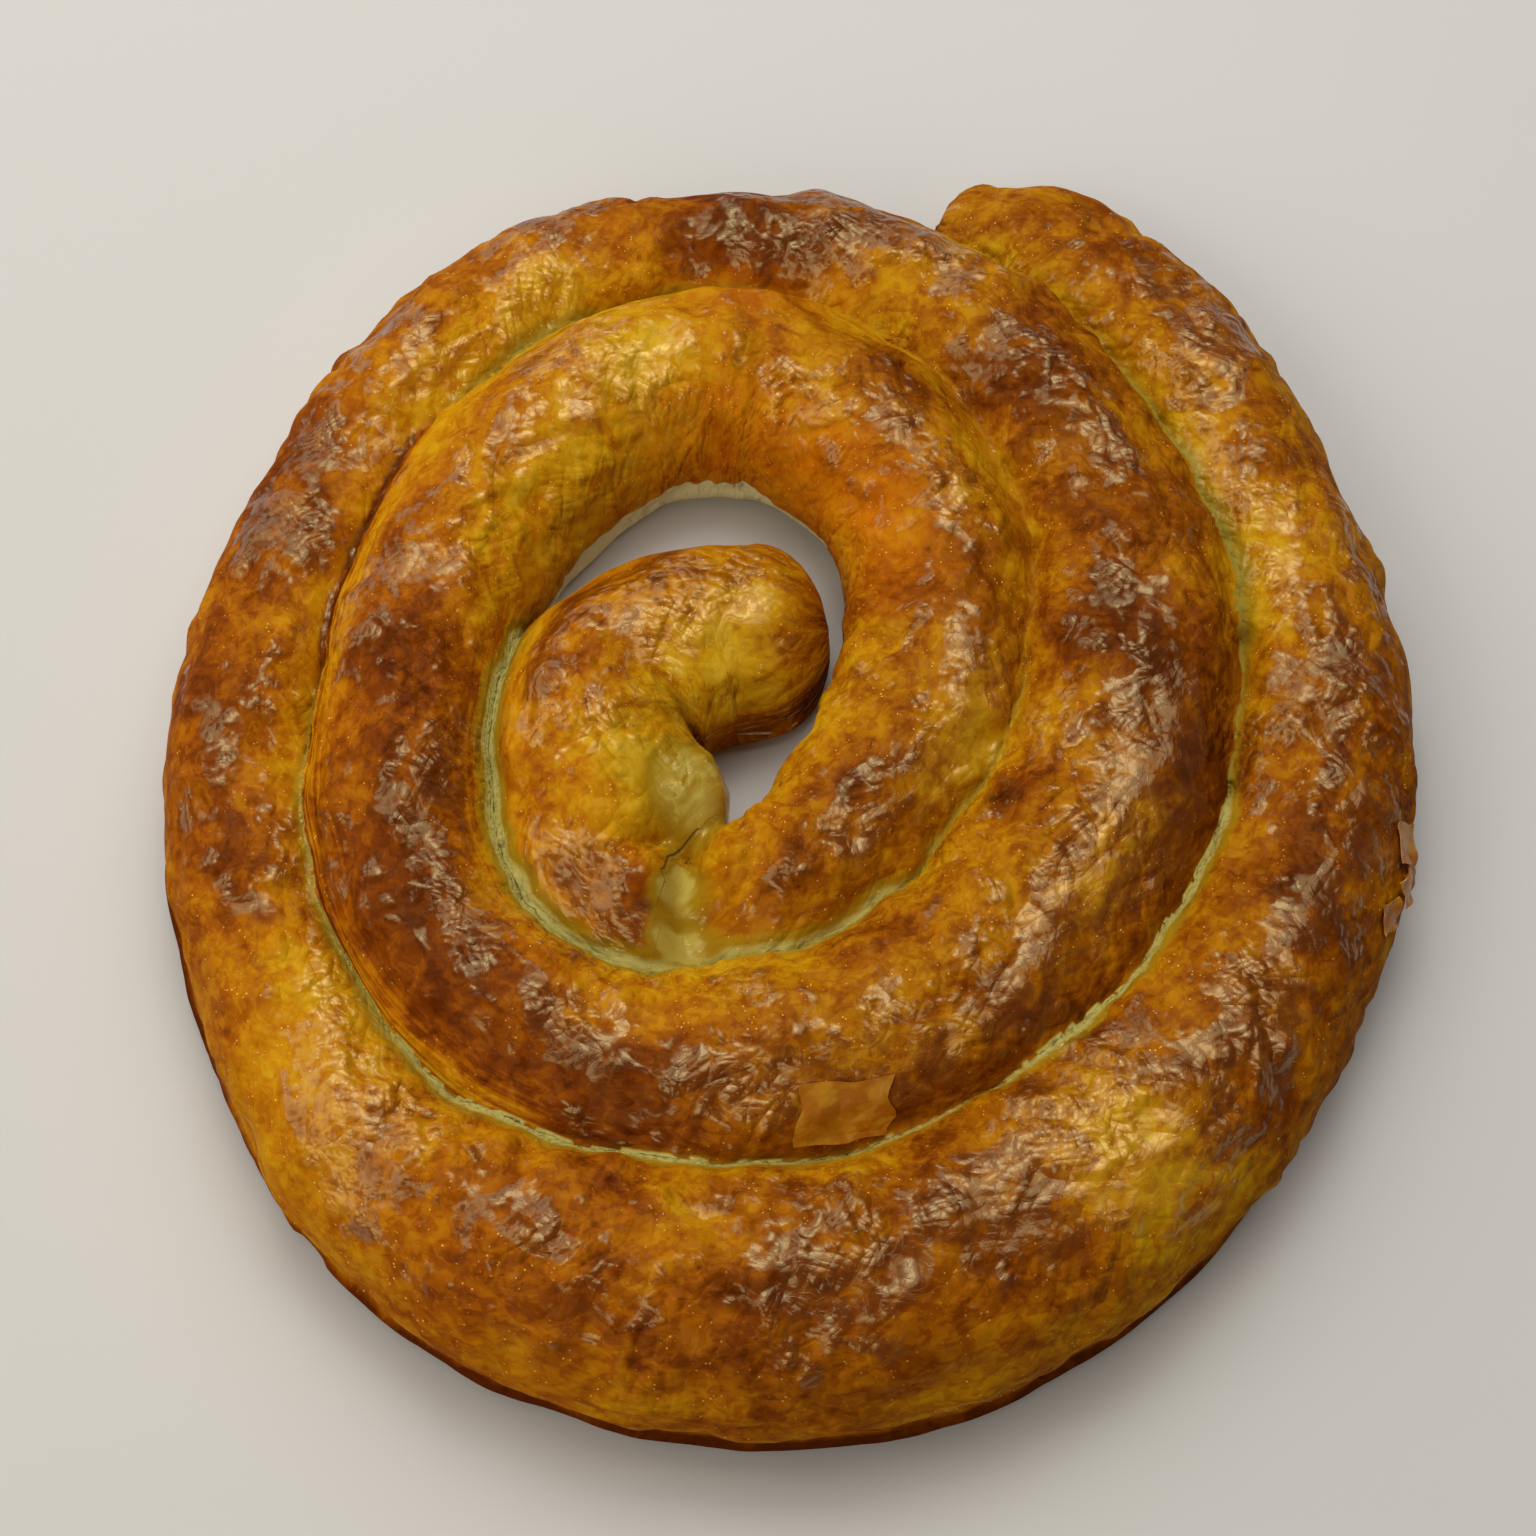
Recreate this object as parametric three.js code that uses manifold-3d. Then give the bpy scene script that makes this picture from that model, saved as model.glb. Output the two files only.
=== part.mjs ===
import * as THREE from 'three';
import { mergeVertices } from 'three/addons/utils/BufferGeometryUtils.js';
import Module from 'manifold-3d';

// Potato borek: one filled roll of paper-thin dough, wound clockwise into a flat coil.
// The inner end hooks back into the small gap that is left open in the middle.
// Millimetres, +Z up, the front of the coil towards -Y.

// Stations along the roll, outer end first: x, y, width from seam to seam, height.
const STATIONS = [
  [40, 127, 22, 12],
  [52, 122, 27, 17],
  [65, 108, 30, 22],
  [84, 79, 30, 27],
  [100, 27, 31, 29],
  [97, -14, 33, 30],
  [84, -48, 37, 32],
  [56, -82, 43, 34],
  [14, -104, 45, 35],
  [-32, -102, 41, 34],
  [-68, -83, 34, 30],
  [-90, -48, 29, 28],
  [-102, -5, 27, 27],
  [-96, 36, 26, 27],
  [-80, 76, 26, 27],
  [-52, 106, 26, 27],
  [-14, 114.5, 27, 27],
  [20, 107, 30, 29],
  [47, 80, 33, 32],
  [64, 44, 37, 34],
  [64, 12, 40, 35],
  [55, -19, 42, 35],
  [36, -45, 41, 35],
  [8, -61.5, 39.5, 34],
  [-28, -65, 37, 33],
  [-58, -46, 33, 33],
  [-71, -14, 33, 33],
  [-70, 22, 34, 33],
  [-58, 56, 36, 33],
  [-32, 80, 36, 33],
  [-3, 82, 36, 33],
  [22, 62, 35, 33],
  [30, 36, 34, 33],
  [28, 13, 34, 33],
  [17, -8, 34, 32],
  [1, -25.5, 33, 31],
  [-17, -33.5, 31, 29],
  [-31, -28, 33, 29],
  [-35, -12, 36, 32],
  [-36, 5, 36, 32],
  [-30, 17.5, 36, 31],
  [-17, 25.5, 35, 30],
  [-5, 28, 32, 28],
];

// The roll's cross-section.
const RING_SPACING = 6.8;
const RING_SIDES = 24;
const WAIST = 0.42; // share of the height at which the roll is widest
const PRESS = 1.6; // how far each side is pressed past its seam into the next roll
const BEND_LIMIT = 0.85; // share of the bend's radius that the inner side may fill
const DOME_SHARE = 0.42; // length of a rounded end as a share of the width
const DOME_STEPS = [0.35, 0.62, 0.83, 0.96];
const PIECES = 7; // lengths that the roll is made up from, each shorter than one turn

// Uneven skin: long swells of the filling and shorter wrinkles across the roll.
const SWELL_DEPTH = 0.45;
const SWELL_LENGTH = 41;
const WRINKLE_DEPTH = 0.45;
const WRINKLE_LENGTH = 17;
const SKIN_FADE = 7; // height over which the skin's relief fades out towards the flat base

// Lip where the bottom layer of dough spreads out beneath the front and beneath the hooked end.
const LIP_REACH = 3;
const LIP_HEIGHT = 6;
const FRONT_LIP = { from: 230, to: 470 };
const HOOK_LIP = { from: 1335, to: 1410 };

// Blister of thin dough on the inner side of the hook, and the dough pinched together in its tight bend.
const BLISTER = { at: [-17.5, -6.5, 14], radii: [8.5, 12, 11.5] };
const PINCH = { at: [-20, -20.5, 11], radii: [6, 7, 10] };

// Loose flake of dough stuck on the second turn, and the torn edge on the right of the outer turn.
// Each is a patch of skin: distances along the roll, angles around it, and how far it stands off.
const FLAKE = { along: [870, 889], around: [0.42, 1.05], lift: 0.9 };
const TORN_EDGE = { along: [172, 186], around: [0.05, 0.4], lift: 1.6 };
const PATCH_SINK = 1.5;

const wasm = await Module();
wasm.setup();

/** Closed three.js geometry as a solid for joining. */
function toSolid(geometry) {
  geometry.deleteAttribute('normal');
  geometry.deleteAttribute('uv');
  const welded = mergeVertices(geometry, 1e-5);
  return new wasm.Manifold(new wasm.Mesh({
    numProp: 3,
    vertProperties: new Float32Array(welded.attributes.position.array),
    triVerts: new Uint32Array(welded.index.array),
  }));
}

/** Rises smoothly from 0 to 1 between two values. */
function ramp(from, to, value) {
  return THREE.MathUtils.smoothstep(value, from, to);
}

/** Rings along the roll, each with its place, heading, half-widths, height and distance along. */
function makeRings() {
  const last = STATIONS.length - 1;
  const route = new THREE.CatmullRomCurve3(
    STATIONS.map(([x, y]) => new THREE.Vector3(x, y, 0)), false, 'catmullrom', 0.5);
  const sizes = new THREE.CatmullRomCurve3(
    STATIONS.map(([, , width, height]) => new THREE.Vector3(width, height, 0)), false, 'catmullrom', 0.5);
  const rings = [];
  for (let i = 0; i < last; i += 1) {
    const gap = Math.hypot(STATIONS[i + 1][0] - STATIONS[i][0], STATIONS[i + 1][1] - STATIONS[i][1]);
    const count = Math.max(2, Math.round(gap / RING_SPACING));
    const end = i === last - 1 ? count : count - 1;
    for (let k = 0; k <= end; k += 1) {
      const t = (i + k / count) / last;
      const size = sizes.getPoint(t);
      rings.push({ at: route.getPoint(t), heading: route.getTangent(t), width: size.x, height: size.y, shrink: 1 });
    }
  }
  limitBends(rings);
  roundEnds(rings);
  let along = 0;
  rings.forEach((ring, i) => {
    along += i === 0 ? 0 : ring.at.distanceTo(rings[i - 1].at);
    ring.along = along;
  });
  return rings;
}

/** Keeps the inner side of each ring within its bend, so that the roll never folds through itself. */
function limitBends(rings) {
  const reach = rings.map((ring, i) => {
    const before = rings[Math.max(i - 1, 0)];
    const after = rings[Math.min(i + 1, rings.length - 1)];
    const turn = before.heading.angleTo(after.heading);
    const radius = before.at.distanceTo(after.at) / Math.max(turn, 1e-3);
    return Math.min(ring.width / 2 + PRESS, BEND_LIMIT * radius);
  });
  rings.forEach((ring, i) => {
    const near = reach.slice(Math.max(i - 1, 0), i + 2);
    ring.inner = near.reduce((sum, value) => sum + value, 0) / near.length;
    ring.inner = Math.min(ring.inner, reach[i]);
    ring.outer = ring.width / 2 + PRESS;
  });
}

/** Adds shrinking rings beyond both ends, which close the roll with a rounded nose. */
function roundEnds(rings) {
  const first = rings[0];
  const final = rings[rings.length - 1];
  const nose = (ring, side) => DOME_STEPS.map((q) => ({
    ...ring,
    at: ring.at.clone().addScaledVector(ring.heading, side * q * DOME_SHARE * ring.width),
    shrink: Math.sqrt(1 - q * q),
  }));
  rings.unshift(...nose(first, -1).reverse());
  rings.push(...nose(final, 1));
}

/** How far the lip spreads at a distance along the roll. */
function lipAt(along, span) {
  const ripple = 0.6 + 0.4 * Math.sin(along / 19) * Math.sin(along / 7 + 1);
  return LIP_REACH * ripple * ramp(span.from, span.from + 30, along) * (1 - ramp(span.to - 30, span.to, along));
}

/** Point on the skin of the roll. c runs across the section, s up it, both on a unit circle. */
function skinPoint(ring, c, s) {
  const half = c >= 0 ? ring.outer : ring.inner;
  const waist = WAIST * ring.height;
  let across = half * c;
  let up = waist + (ring.height - waist) * s;
  if (s < 0) {
    across = half * Math.sign(c) * Math.abs(c) ** 0.6;
    up = waist * Math.max(0, 1 - 1.25 * Math.abs(s) ** 0.9);
  }
  const around = Math.atan2(s, c);
  const swell = SWELL_DEPTH * Math.sin((2 * Math.PI * ring.along) / SWELL_LENGTH + 1.3 * around);
  const wrinkle = WRINKLE_DEPTH * Math.sin((2 * Math.PI * ring.along) / WRINKLE_LENGTH - 2 * around)
    * Math.sin(3 * around + ring.along / 23);
  const relief = (swell + wrinkle) * ramp(0, SKIN_FADE, up);
  across += relief * c;
  up += relief * Math.max(s, 0);
  const low = 1 - ramp(LIP_HEIGHT * 0.4, LIP_HEIGHT, up);
  const lip = c >= 0 ? lipAt(ring.along, FRONT_LIP) : -lipAt(ring.along, HOOK_LIP);
  across += lip * low * ramp(0.2, 0.6, Math.abs(c));
  const level = waist * 0.8;
  across *= ring.shrink;
  up = level + (up - level) * ring.shrink;
  return new THREE.Vector3(
    ring.at.x - ring.heading.y * across,
    ring.at.y + ring.heading.x * across,
    up,
  );
}

/** One length of the roll: a closed cylinder whose points are moved onto the skin. */
function rollLength(rings) {
  const rows = rings.length - 1;
  const blank = new THREE.CylinderGeometry(1, 1, 1, RING_SIDES, rows);
  const points = blank.attributes.position;
  for (let i = 0; i < points.count; i += 1) {
    const ring = rings[Math.round((0.5 - points.getY(i)) * rows)];
    const c = points.getX(i);
    const s = points.getZ(i);
    const moved = Math.hypot(c, s) > 0.5 ? skinPoint(ring, c, s) : ring.at.clone().setZ(WAIST * ring.height);
    points.setXYZ(i, moved.x, moved.y, moved.z);
  }
  return toSolid(blank);
}

/** Point on the skin at a distance along the roll and an angle around it, moved off it by a lift. */
function skinAt(rings, along, angle, lift) {
  const next = Math.max(1, rings.findIndex((ring) => ring.along >= along));
  const [from, to] = [rings[next - 1], rings[next]];
  const share = (along - from.along) / (to.along - from.along);
  const [c, s] = [Math.cos(angle), Math.sin(angle)];
  const point = skinPoint(from, c, s).lerp(skinPoint(to, c, s), share);
  const core = from.at.clone().lerp(to.at, share).setZ(WAIST * from.height);
  return point.addScaledVector(point.clone().sub(core).normalize(), lift);
}

/** Thin flake of dough lying on the skin: a box whose points follow the roll. */
function flakeSolid(rings, { along, around, lift }) {
  const sheet = new THREE.BoxGeometry(1, 1, 1, 5, 4, 1);
  const points = sheet.attributes.position;
  for (let i = 0; i < points.count; i += 1) {
    const distance = THREE.MathUtils.lerp(along[1], along[0], points.getX(i) + 0.5);
    const angle = THREE.MathUtils.lerp(around[0], around[1], points.getY(i) + 0.5);
    const moved = skinAt(rings, distance, angle, points.getZ(i) > 0 ? lift : -PATCH_SINK);
    points.setXYZ(i, moved.x, moved.y, moved.z);
  }
  return toSolid(sheet);
}

/** Rounded swelling of the dough. */
function swellingSolid({ at, radii }) {
  const bubble = new THREE.SphereGeometry(1, 18, 12);
  bubble.scale(...radii);
  bubble.translate(...at);
  return toSolid(bubble);
}

const rings = makeRings();
const perPiece = Math.ceil((rings.length - 1) / PIECES);
let solid = swellingSolid(BLISTER).add(swellingSolid(PINCH));
solid = solid.add(flakeSolid(rings, FLAKE)).add(flakeSolid(rings, TORN_EDGE));
for (let i = 0; i < rings.length - 1; i += perPiece) {
  solid = solid.add(rollLength(rings.slice(i, i + perPiece + 1)));
}

const mesh = solid.getMesh();
const geometry = new THREE.BufferGeometry();
geometry.setAttribute('position', new THREE.BufferAttribute(new Float32Array(mesh.vertProperties), 3));
geometry.setIndex(new THREE.BufferAttribute(new Uint32Array(mesh.triVerts), 1));
geometry.computeBoundingBox();
const box = geometry.boundingBox;
geometry.translate(-(box.min.x + box.max.x) / 2, -(box.min.y + box.max.y) / 2, -box.min.z);
geometry.computeVertexNormals();

const crust = new THREE.MeshStandardMaterial({ color: 0xb4691c, roughness: 0.45, metalness: 0 });
crust.name = 'crust';
const coil = new THREE.Mesh(geometry, crust);
coil.name = 'borek_coil';

const borek = new THREE.Group();
borek.name = 'potato_borek';
borek.add(coil);

export default borek;
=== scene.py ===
"""Looks of a baked potato borek: one glossy, unevenly browned roll of dough, wound into a flat coil."""
import logging
import math
from dataclasses import dataclass, field
from enum import Enum
from typing import Any, Union

import bmesh
import bpy
import numpy as np
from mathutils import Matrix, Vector, kdtree, noise


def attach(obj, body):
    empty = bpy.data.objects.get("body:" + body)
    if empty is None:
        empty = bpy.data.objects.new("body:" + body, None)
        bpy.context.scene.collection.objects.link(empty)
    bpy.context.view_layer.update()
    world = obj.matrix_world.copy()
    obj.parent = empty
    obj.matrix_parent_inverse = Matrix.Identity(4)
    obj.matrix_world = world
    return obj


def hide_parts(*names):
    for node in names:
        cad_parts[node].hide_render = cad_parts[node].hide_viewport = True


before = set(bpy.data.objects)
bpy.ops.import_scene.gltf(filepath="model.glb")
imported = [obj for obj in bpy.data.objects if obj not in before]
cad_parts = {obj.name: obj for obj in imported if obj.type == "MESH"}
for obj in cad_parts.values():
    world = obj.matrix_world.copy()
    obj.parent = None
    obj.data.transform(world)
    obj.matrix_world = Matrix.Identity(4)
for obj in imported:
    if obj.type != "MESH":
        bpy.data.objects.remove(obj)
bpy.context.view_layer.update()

LOG = logging.getLogger("borek")
MM = 0.001
NODE = "borek_coil"
BODY = "root"
# Points of a swelling carry a distance along the roll around BALL_MIDDLE, so all past BALL_MARK are theirs.
BALL_MARK = 1900.0
BALL_MIDDLE = 2000.0

Colour = tuple[float, float, float, float]
Point = tuple[float, float, float]
Pair = tuple[float, float]
Profile = tuple[Pair, ...]


def srgb(red: int, green: int, blue: int) -> Colour:
    """Turn a colour as seen on screen into the linear colour that a shader takes.

    Args:
        red: Red from 0 to 255.
        green: Green from 0 to 255.
        blue: Blue from 0 to 255.

    Returns:
        Linear red, green, blue and an alpha of 1.
    """
    levels = [level / 255 for level in (red, green, blue)]
    linear = [v / 12.92 if v <= 0.04045 else ((v + 0.055) / 1.055) ** 2.4 for v in levels]
    return linear[0], linear[1], linear[2], 1.0


def ramp(low: float, high: float, values: np.ndarray) -> np.ndarray:
    """Rise smoothly from 0 to 1 between two values.

    Args:
        low: Where the rise starts.
        high: Where the rise ends.
        values: The values to look up.

    Returns:
        The smooth step at each value.
    """
    share = np.clip((values - low) / (high - low), 0.0, 1.0)
    return share * share * (3.0 - 2.0 * share)


def span(first: float, last: float, fade: float, values: np.ndarray) -> np.ndarray:
    """Rise smoothly from 0 to 1 at the start of a span and fall back at its end.

    Args:
        first: Where the span starts.
        last: Where the span ends.
        fade: Length of the rise and of the fall.
        values: The values to look up.

    Returns:
        The smooth span at each value.
    """
    return ramp(first, first + fade, values) * (1 - ramp(last - fade, last, values))


def bell(values: np.ndarray, width: Union[float, np.ndarray]) -> np.ndarray:
    """A smooth bell, 1 at zero and nearly 0 from twice the width on."""
    return np.exp(-(values / width) ** 2)


def looked_up(profile: Profile, along: np.ndarray) -> np.ndarray:
    """Read a profile, which gives values at distances along the roll, at each point."""
    return np.interp(along, *zip(*profile))


@dataclass(frozen=True)
class Lumps:
    """Soft random lumps about a size apart along and around the roll, in millimetres.

    layer picks one of many unlike patterns.
    """

    size: Pair
    layer: float

    def at(self, xs: np.ndarray, ys: np.ndarray) -> np.ndarray:
        """Look the lumps up.

        Args:
            xs: First coordinate of each point.
            ys: Second coordinate of each point.

        Returns:
            A value from about -1 to 1 at each point, the same in every run.
        """
        places = zip((xs / self.size[0]).ravel(), (ys / self.size[1]).ravel())
        flat = [noise.noise(Vector((x, y, self.layer))) for x, y in places]
        return np.array(flat).reshape(xs.shape)


@dataclass(frozen=True)
class Station:
    """A place along the roll, and the roll's width and height there, in millimetres."""

    x: float
    y: float
    width: float
    height: float


STATIONS: tuple[Station, ...] = tuple(Station(*row) for row in (
    (40, 127, 22, 12), (52, 122, 27, 17), (65, 108, 30, 22), (84, 79, 30, 27), (100, 27, 31, 29),
    (97, -14, 33, 30), (84, -48, 37, 32), (56, -82, 43, 34), (14, -104, 45, 35), (-32, -102, 41, 34),
    (-68, -83, 34, 30), (-90, -48, 29, 28), (-102, -5, 27, 27), (-95, 35.6, 28, 27),
    (-79.1, 75.2, 28, 27), (-51.6, 105.3, 27.5, 27), (-14, 114.5, 27, 27), (20, 107, 30, 29),
    (47, 80, 33, 32), (64, 44, 37, 34), (64, 12, 40, 35), (55, -19, 42, 35), (36, -45, 41, 35),
    (8, -61.5, 39.5, 34), (-28, -65, 37, 33), (-58, -46, 33, 33), (-71, -14, 33, 33),
    (-69.2, 21.9, 32.4, 33), (-57, 55.2, 33.6, 33), (-31.5, 79, 34, 33), (-3, 82, 36, 33),
    (22, 62, 35, 33), (30, 36, 34, 33), (28, 13, 34, 33), (18, -9, 32, 32), (2.2, -27, 29.5, 31),
    (-16.5, -34.2, 30, 29), (-31, -28, 33, 29), (-35, -12, 36, 32), (-36, 5, 36, 32),
    (-30, 17.5, 36, 31), (-17, 25.5, 35, 30), (-5, 28, 32, 28),
))
BOX_MIDDLE = (0.56, 5.12)


@dataclass
class Rings:
    """Cross-sections along the roll, one entry each, in millimetres."""

    centre: np.ndarray
    heading: np.ndarray
    outer: np.ndarray
    inner: np.ndarray
    height: np.ndarray
    shrink: np.ndarray
    bend: np.ndarray
    along: np.ndarray


@dataclass(frozen=True)
class RollRoute:
    """The way that the roll winds from its outer end to its hook, and its width and height there."""

    stations: tuple[Station, ...] = STATIONS
    spacing: float = 1.25
    press: float = 1.6
    bend_limit: float = 0.78
    nose_share: float = 0.42
    nose_rings: int = 9
    nose_turn: float = 0.49
    turn_average: int = 9
    least_turn: float = 1e-4

    def curve(self) -> np.ndarray:
        """Lay a smooth curve through the stations.

        Returns:
            Place, width and height along the curve, one row a ring.
        """
        knots = np.array([[s.x - BOX_MIDDLE[0], s.y - BOX_MIDDLE[1], s.width, s.height]
                          for s in self.stations])
        knots = np.vstack([2 * knots[0] - knots[1], knots, 2 * knots[-1] - knots[-2]])
        rows = []
        for a, b, c, d in zip(knots, knots[1:], knots[2:], knots[3:]):
            count = max(2, round(float(np.linalg.norm(c[:2] - b[:2])) / self.spacing))
            t = (np.arange(count) / count)[:, None]
            rows.append(b + 0.5 * t * (c - a + t * (2 * a - 5 * b + 4 * c - d + t * (3 * (b - c) + d - a))))
        rows.append(knots[-2:-1])
        return np.vstack(rows)

    def with_noses(self, values: np.ndarray) -> np.ndarray:
        """Repeat the first and the last entry for the rings of the two noses."""
        return np.concatenate([np.repeat(values[:1], self.nose_rings, 0), values,
                               np.repeat(values[-1:], self.nose_rings, 0)])

    def sample(self) -> Rings:
        """Work out the cross-sections, with a rounded nose at both ends.

        Returns:
            The rings from the outer end to the tip of the hook.
        """
        rows = self.curve()
        heading = np.gradient(rows[:, :2], axis=0)
        step = np.linalg.norm(heading, axis=1)
        heading = heading / step[:, None]
        angle = np.unwrap(np.arctan2(heading[:, 1], heading[:, 0]))
        average = np.ones(self.turn_average) / self.turn_average
        turn = np.convolve(np.abs(np.gradient(angle)) / step, average, mode="same")
        half = rows[:, 2] / 2 + self.press
        inner = np.minimum(half, self.bend_limit / np.maximum(turn, self.least_turn))
        quarter = np.linspace(0, 1, self.nose_rings + 1)[1:] * math.pi * self.nose_turn
        reach = self.nose_share * np.sin(quarter)[:, None]
        lead = rows[0, :2] - reach * rows[0, 2] * heading[0]
        tail = rows[-1, :2] + reach * rows[-1, 2] * heading[-1]
        centre = np.concatenate([lead[::-1], rows[:, :2], tail])
        along = np.concatenate([[0.0], np.cumsum(np.linalg.norm(np.diff(centre, axis=0), axis=1))])
        shrink = np.concatenate([np.cos(quarter)[::-1], np.ones(len(rows)), np.cos(quarter)])
        return Rings(centre, self.with_noses(heading), self.with_noses(half), self.with_noses(inner),
                     self.with_noses(rows[:, 3]), shrink, self.with_noses(half * turn), along)


@dataclass
class Skin:
    """The roll's surface as a grid of rings by sides, in millimetres.

    along is the distance along the roll, arc the distance around it from its ridge (positive on the outer
    flank), and share the height as a share of the roll's height.
    """

    points: np.ndarray
    along: np.ndarray
    arc: np.ndarray
    share: np.ndarray

    def at(self, along: float, arc: float) -> Vector:
        """Find a point of the surface.

        Args:
            along: Its distance along the roll.
            arc: Its distance around the roll from the ridge.

        Returns:
            The point, in millimetres.
        """
        ring = int(np.clip(np.searchsorted(self.along[:, 0], along), 1, len(self.along) - 1))
        before, after = self.along[ring - 1, 0], self.along[ring, 0]
        share = (along - before) / (after - before)
        ends = []
        for row in (ring - 1, ring):
            order = np.argsort(self.arc[row])
            ends.append([np.interp(arc, self.arc[row][order], self.points[row][order, axis])
                         for axis in range(3)])
        return Vector(ends[0]).lerp(Vector(ends[1]), share)

    def lifted(self, along: float, arc: float, lift: float, reach: float = 0.8) -> Vector:
        """Find a point above the surface.

        Args:
            along: Its distance along the roll.
            arc: Its distance around the roll from the ridge.
            lift: Its height, square to the surface.
            reach: How far around the point the surface's slope is measured.

        Returns:
            The point, in millimetres.
        """
        ahead = self.at(along + reach, arc) - self.at(along - reach, arc)
        aside = self.at(along, arc + reach) - self.at(along, arc - reach)
        return self.at(along, arc) + lift * ahead.cross(aside).normalized()


class Flank(Enum):
    """Side of the roll: towards the outside of the coil or towards its middle."""

    OUTER = 1
    INNER = -1


@dataclass(frozen=True)
class Lip:
    """Foot where the bottom layer of dough spreads out from under the roll, in millimetres."""

    start: float
    end: float
    flank: Flank
    reach: float = 3.0
    height: float = 6.0
    tuck: float = 0.0
    sharp: float = 0.4
    fade: float = 30.0
    ripple: Pair = (0.8, 0.35)
    ripples: Lumps = Lumps((14.0, 1.0), 14.2)
    ripple_row: float = 0.37
    hollow_height: float = 1.45
    hollow_width: float = 2.2
    edge: Pair = (4.0, 10.0)

    def spread(self, along: np.ndarray, across: np.ndarray, up: np.ndarray) -> np.ndarray:
        """How far the foot moves each point of the section outwards.

        Args:
            along: Distance along the roll.
            across: Distance across the section.
            up: Height.

        Returns:
            The move across the section.
        """
        even, uneven = self.ripple
        ripple = even + uneven * self.ripples.at(along, np.full_like(along, self.ripple_row))
        length = span(self.start, self.end, self.fade, along)
        low = 1 - ramp(self.sharp * self.height, self.height, up)
        hollow = bell(up - self.hollow_height * self.height, self.hollow_width)
        side = ramp(*self.edge, across * self.flank.value)
        return self.flank.value * ripple * length * side * (self.reach * low - self.tuck * hollow)


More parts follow.
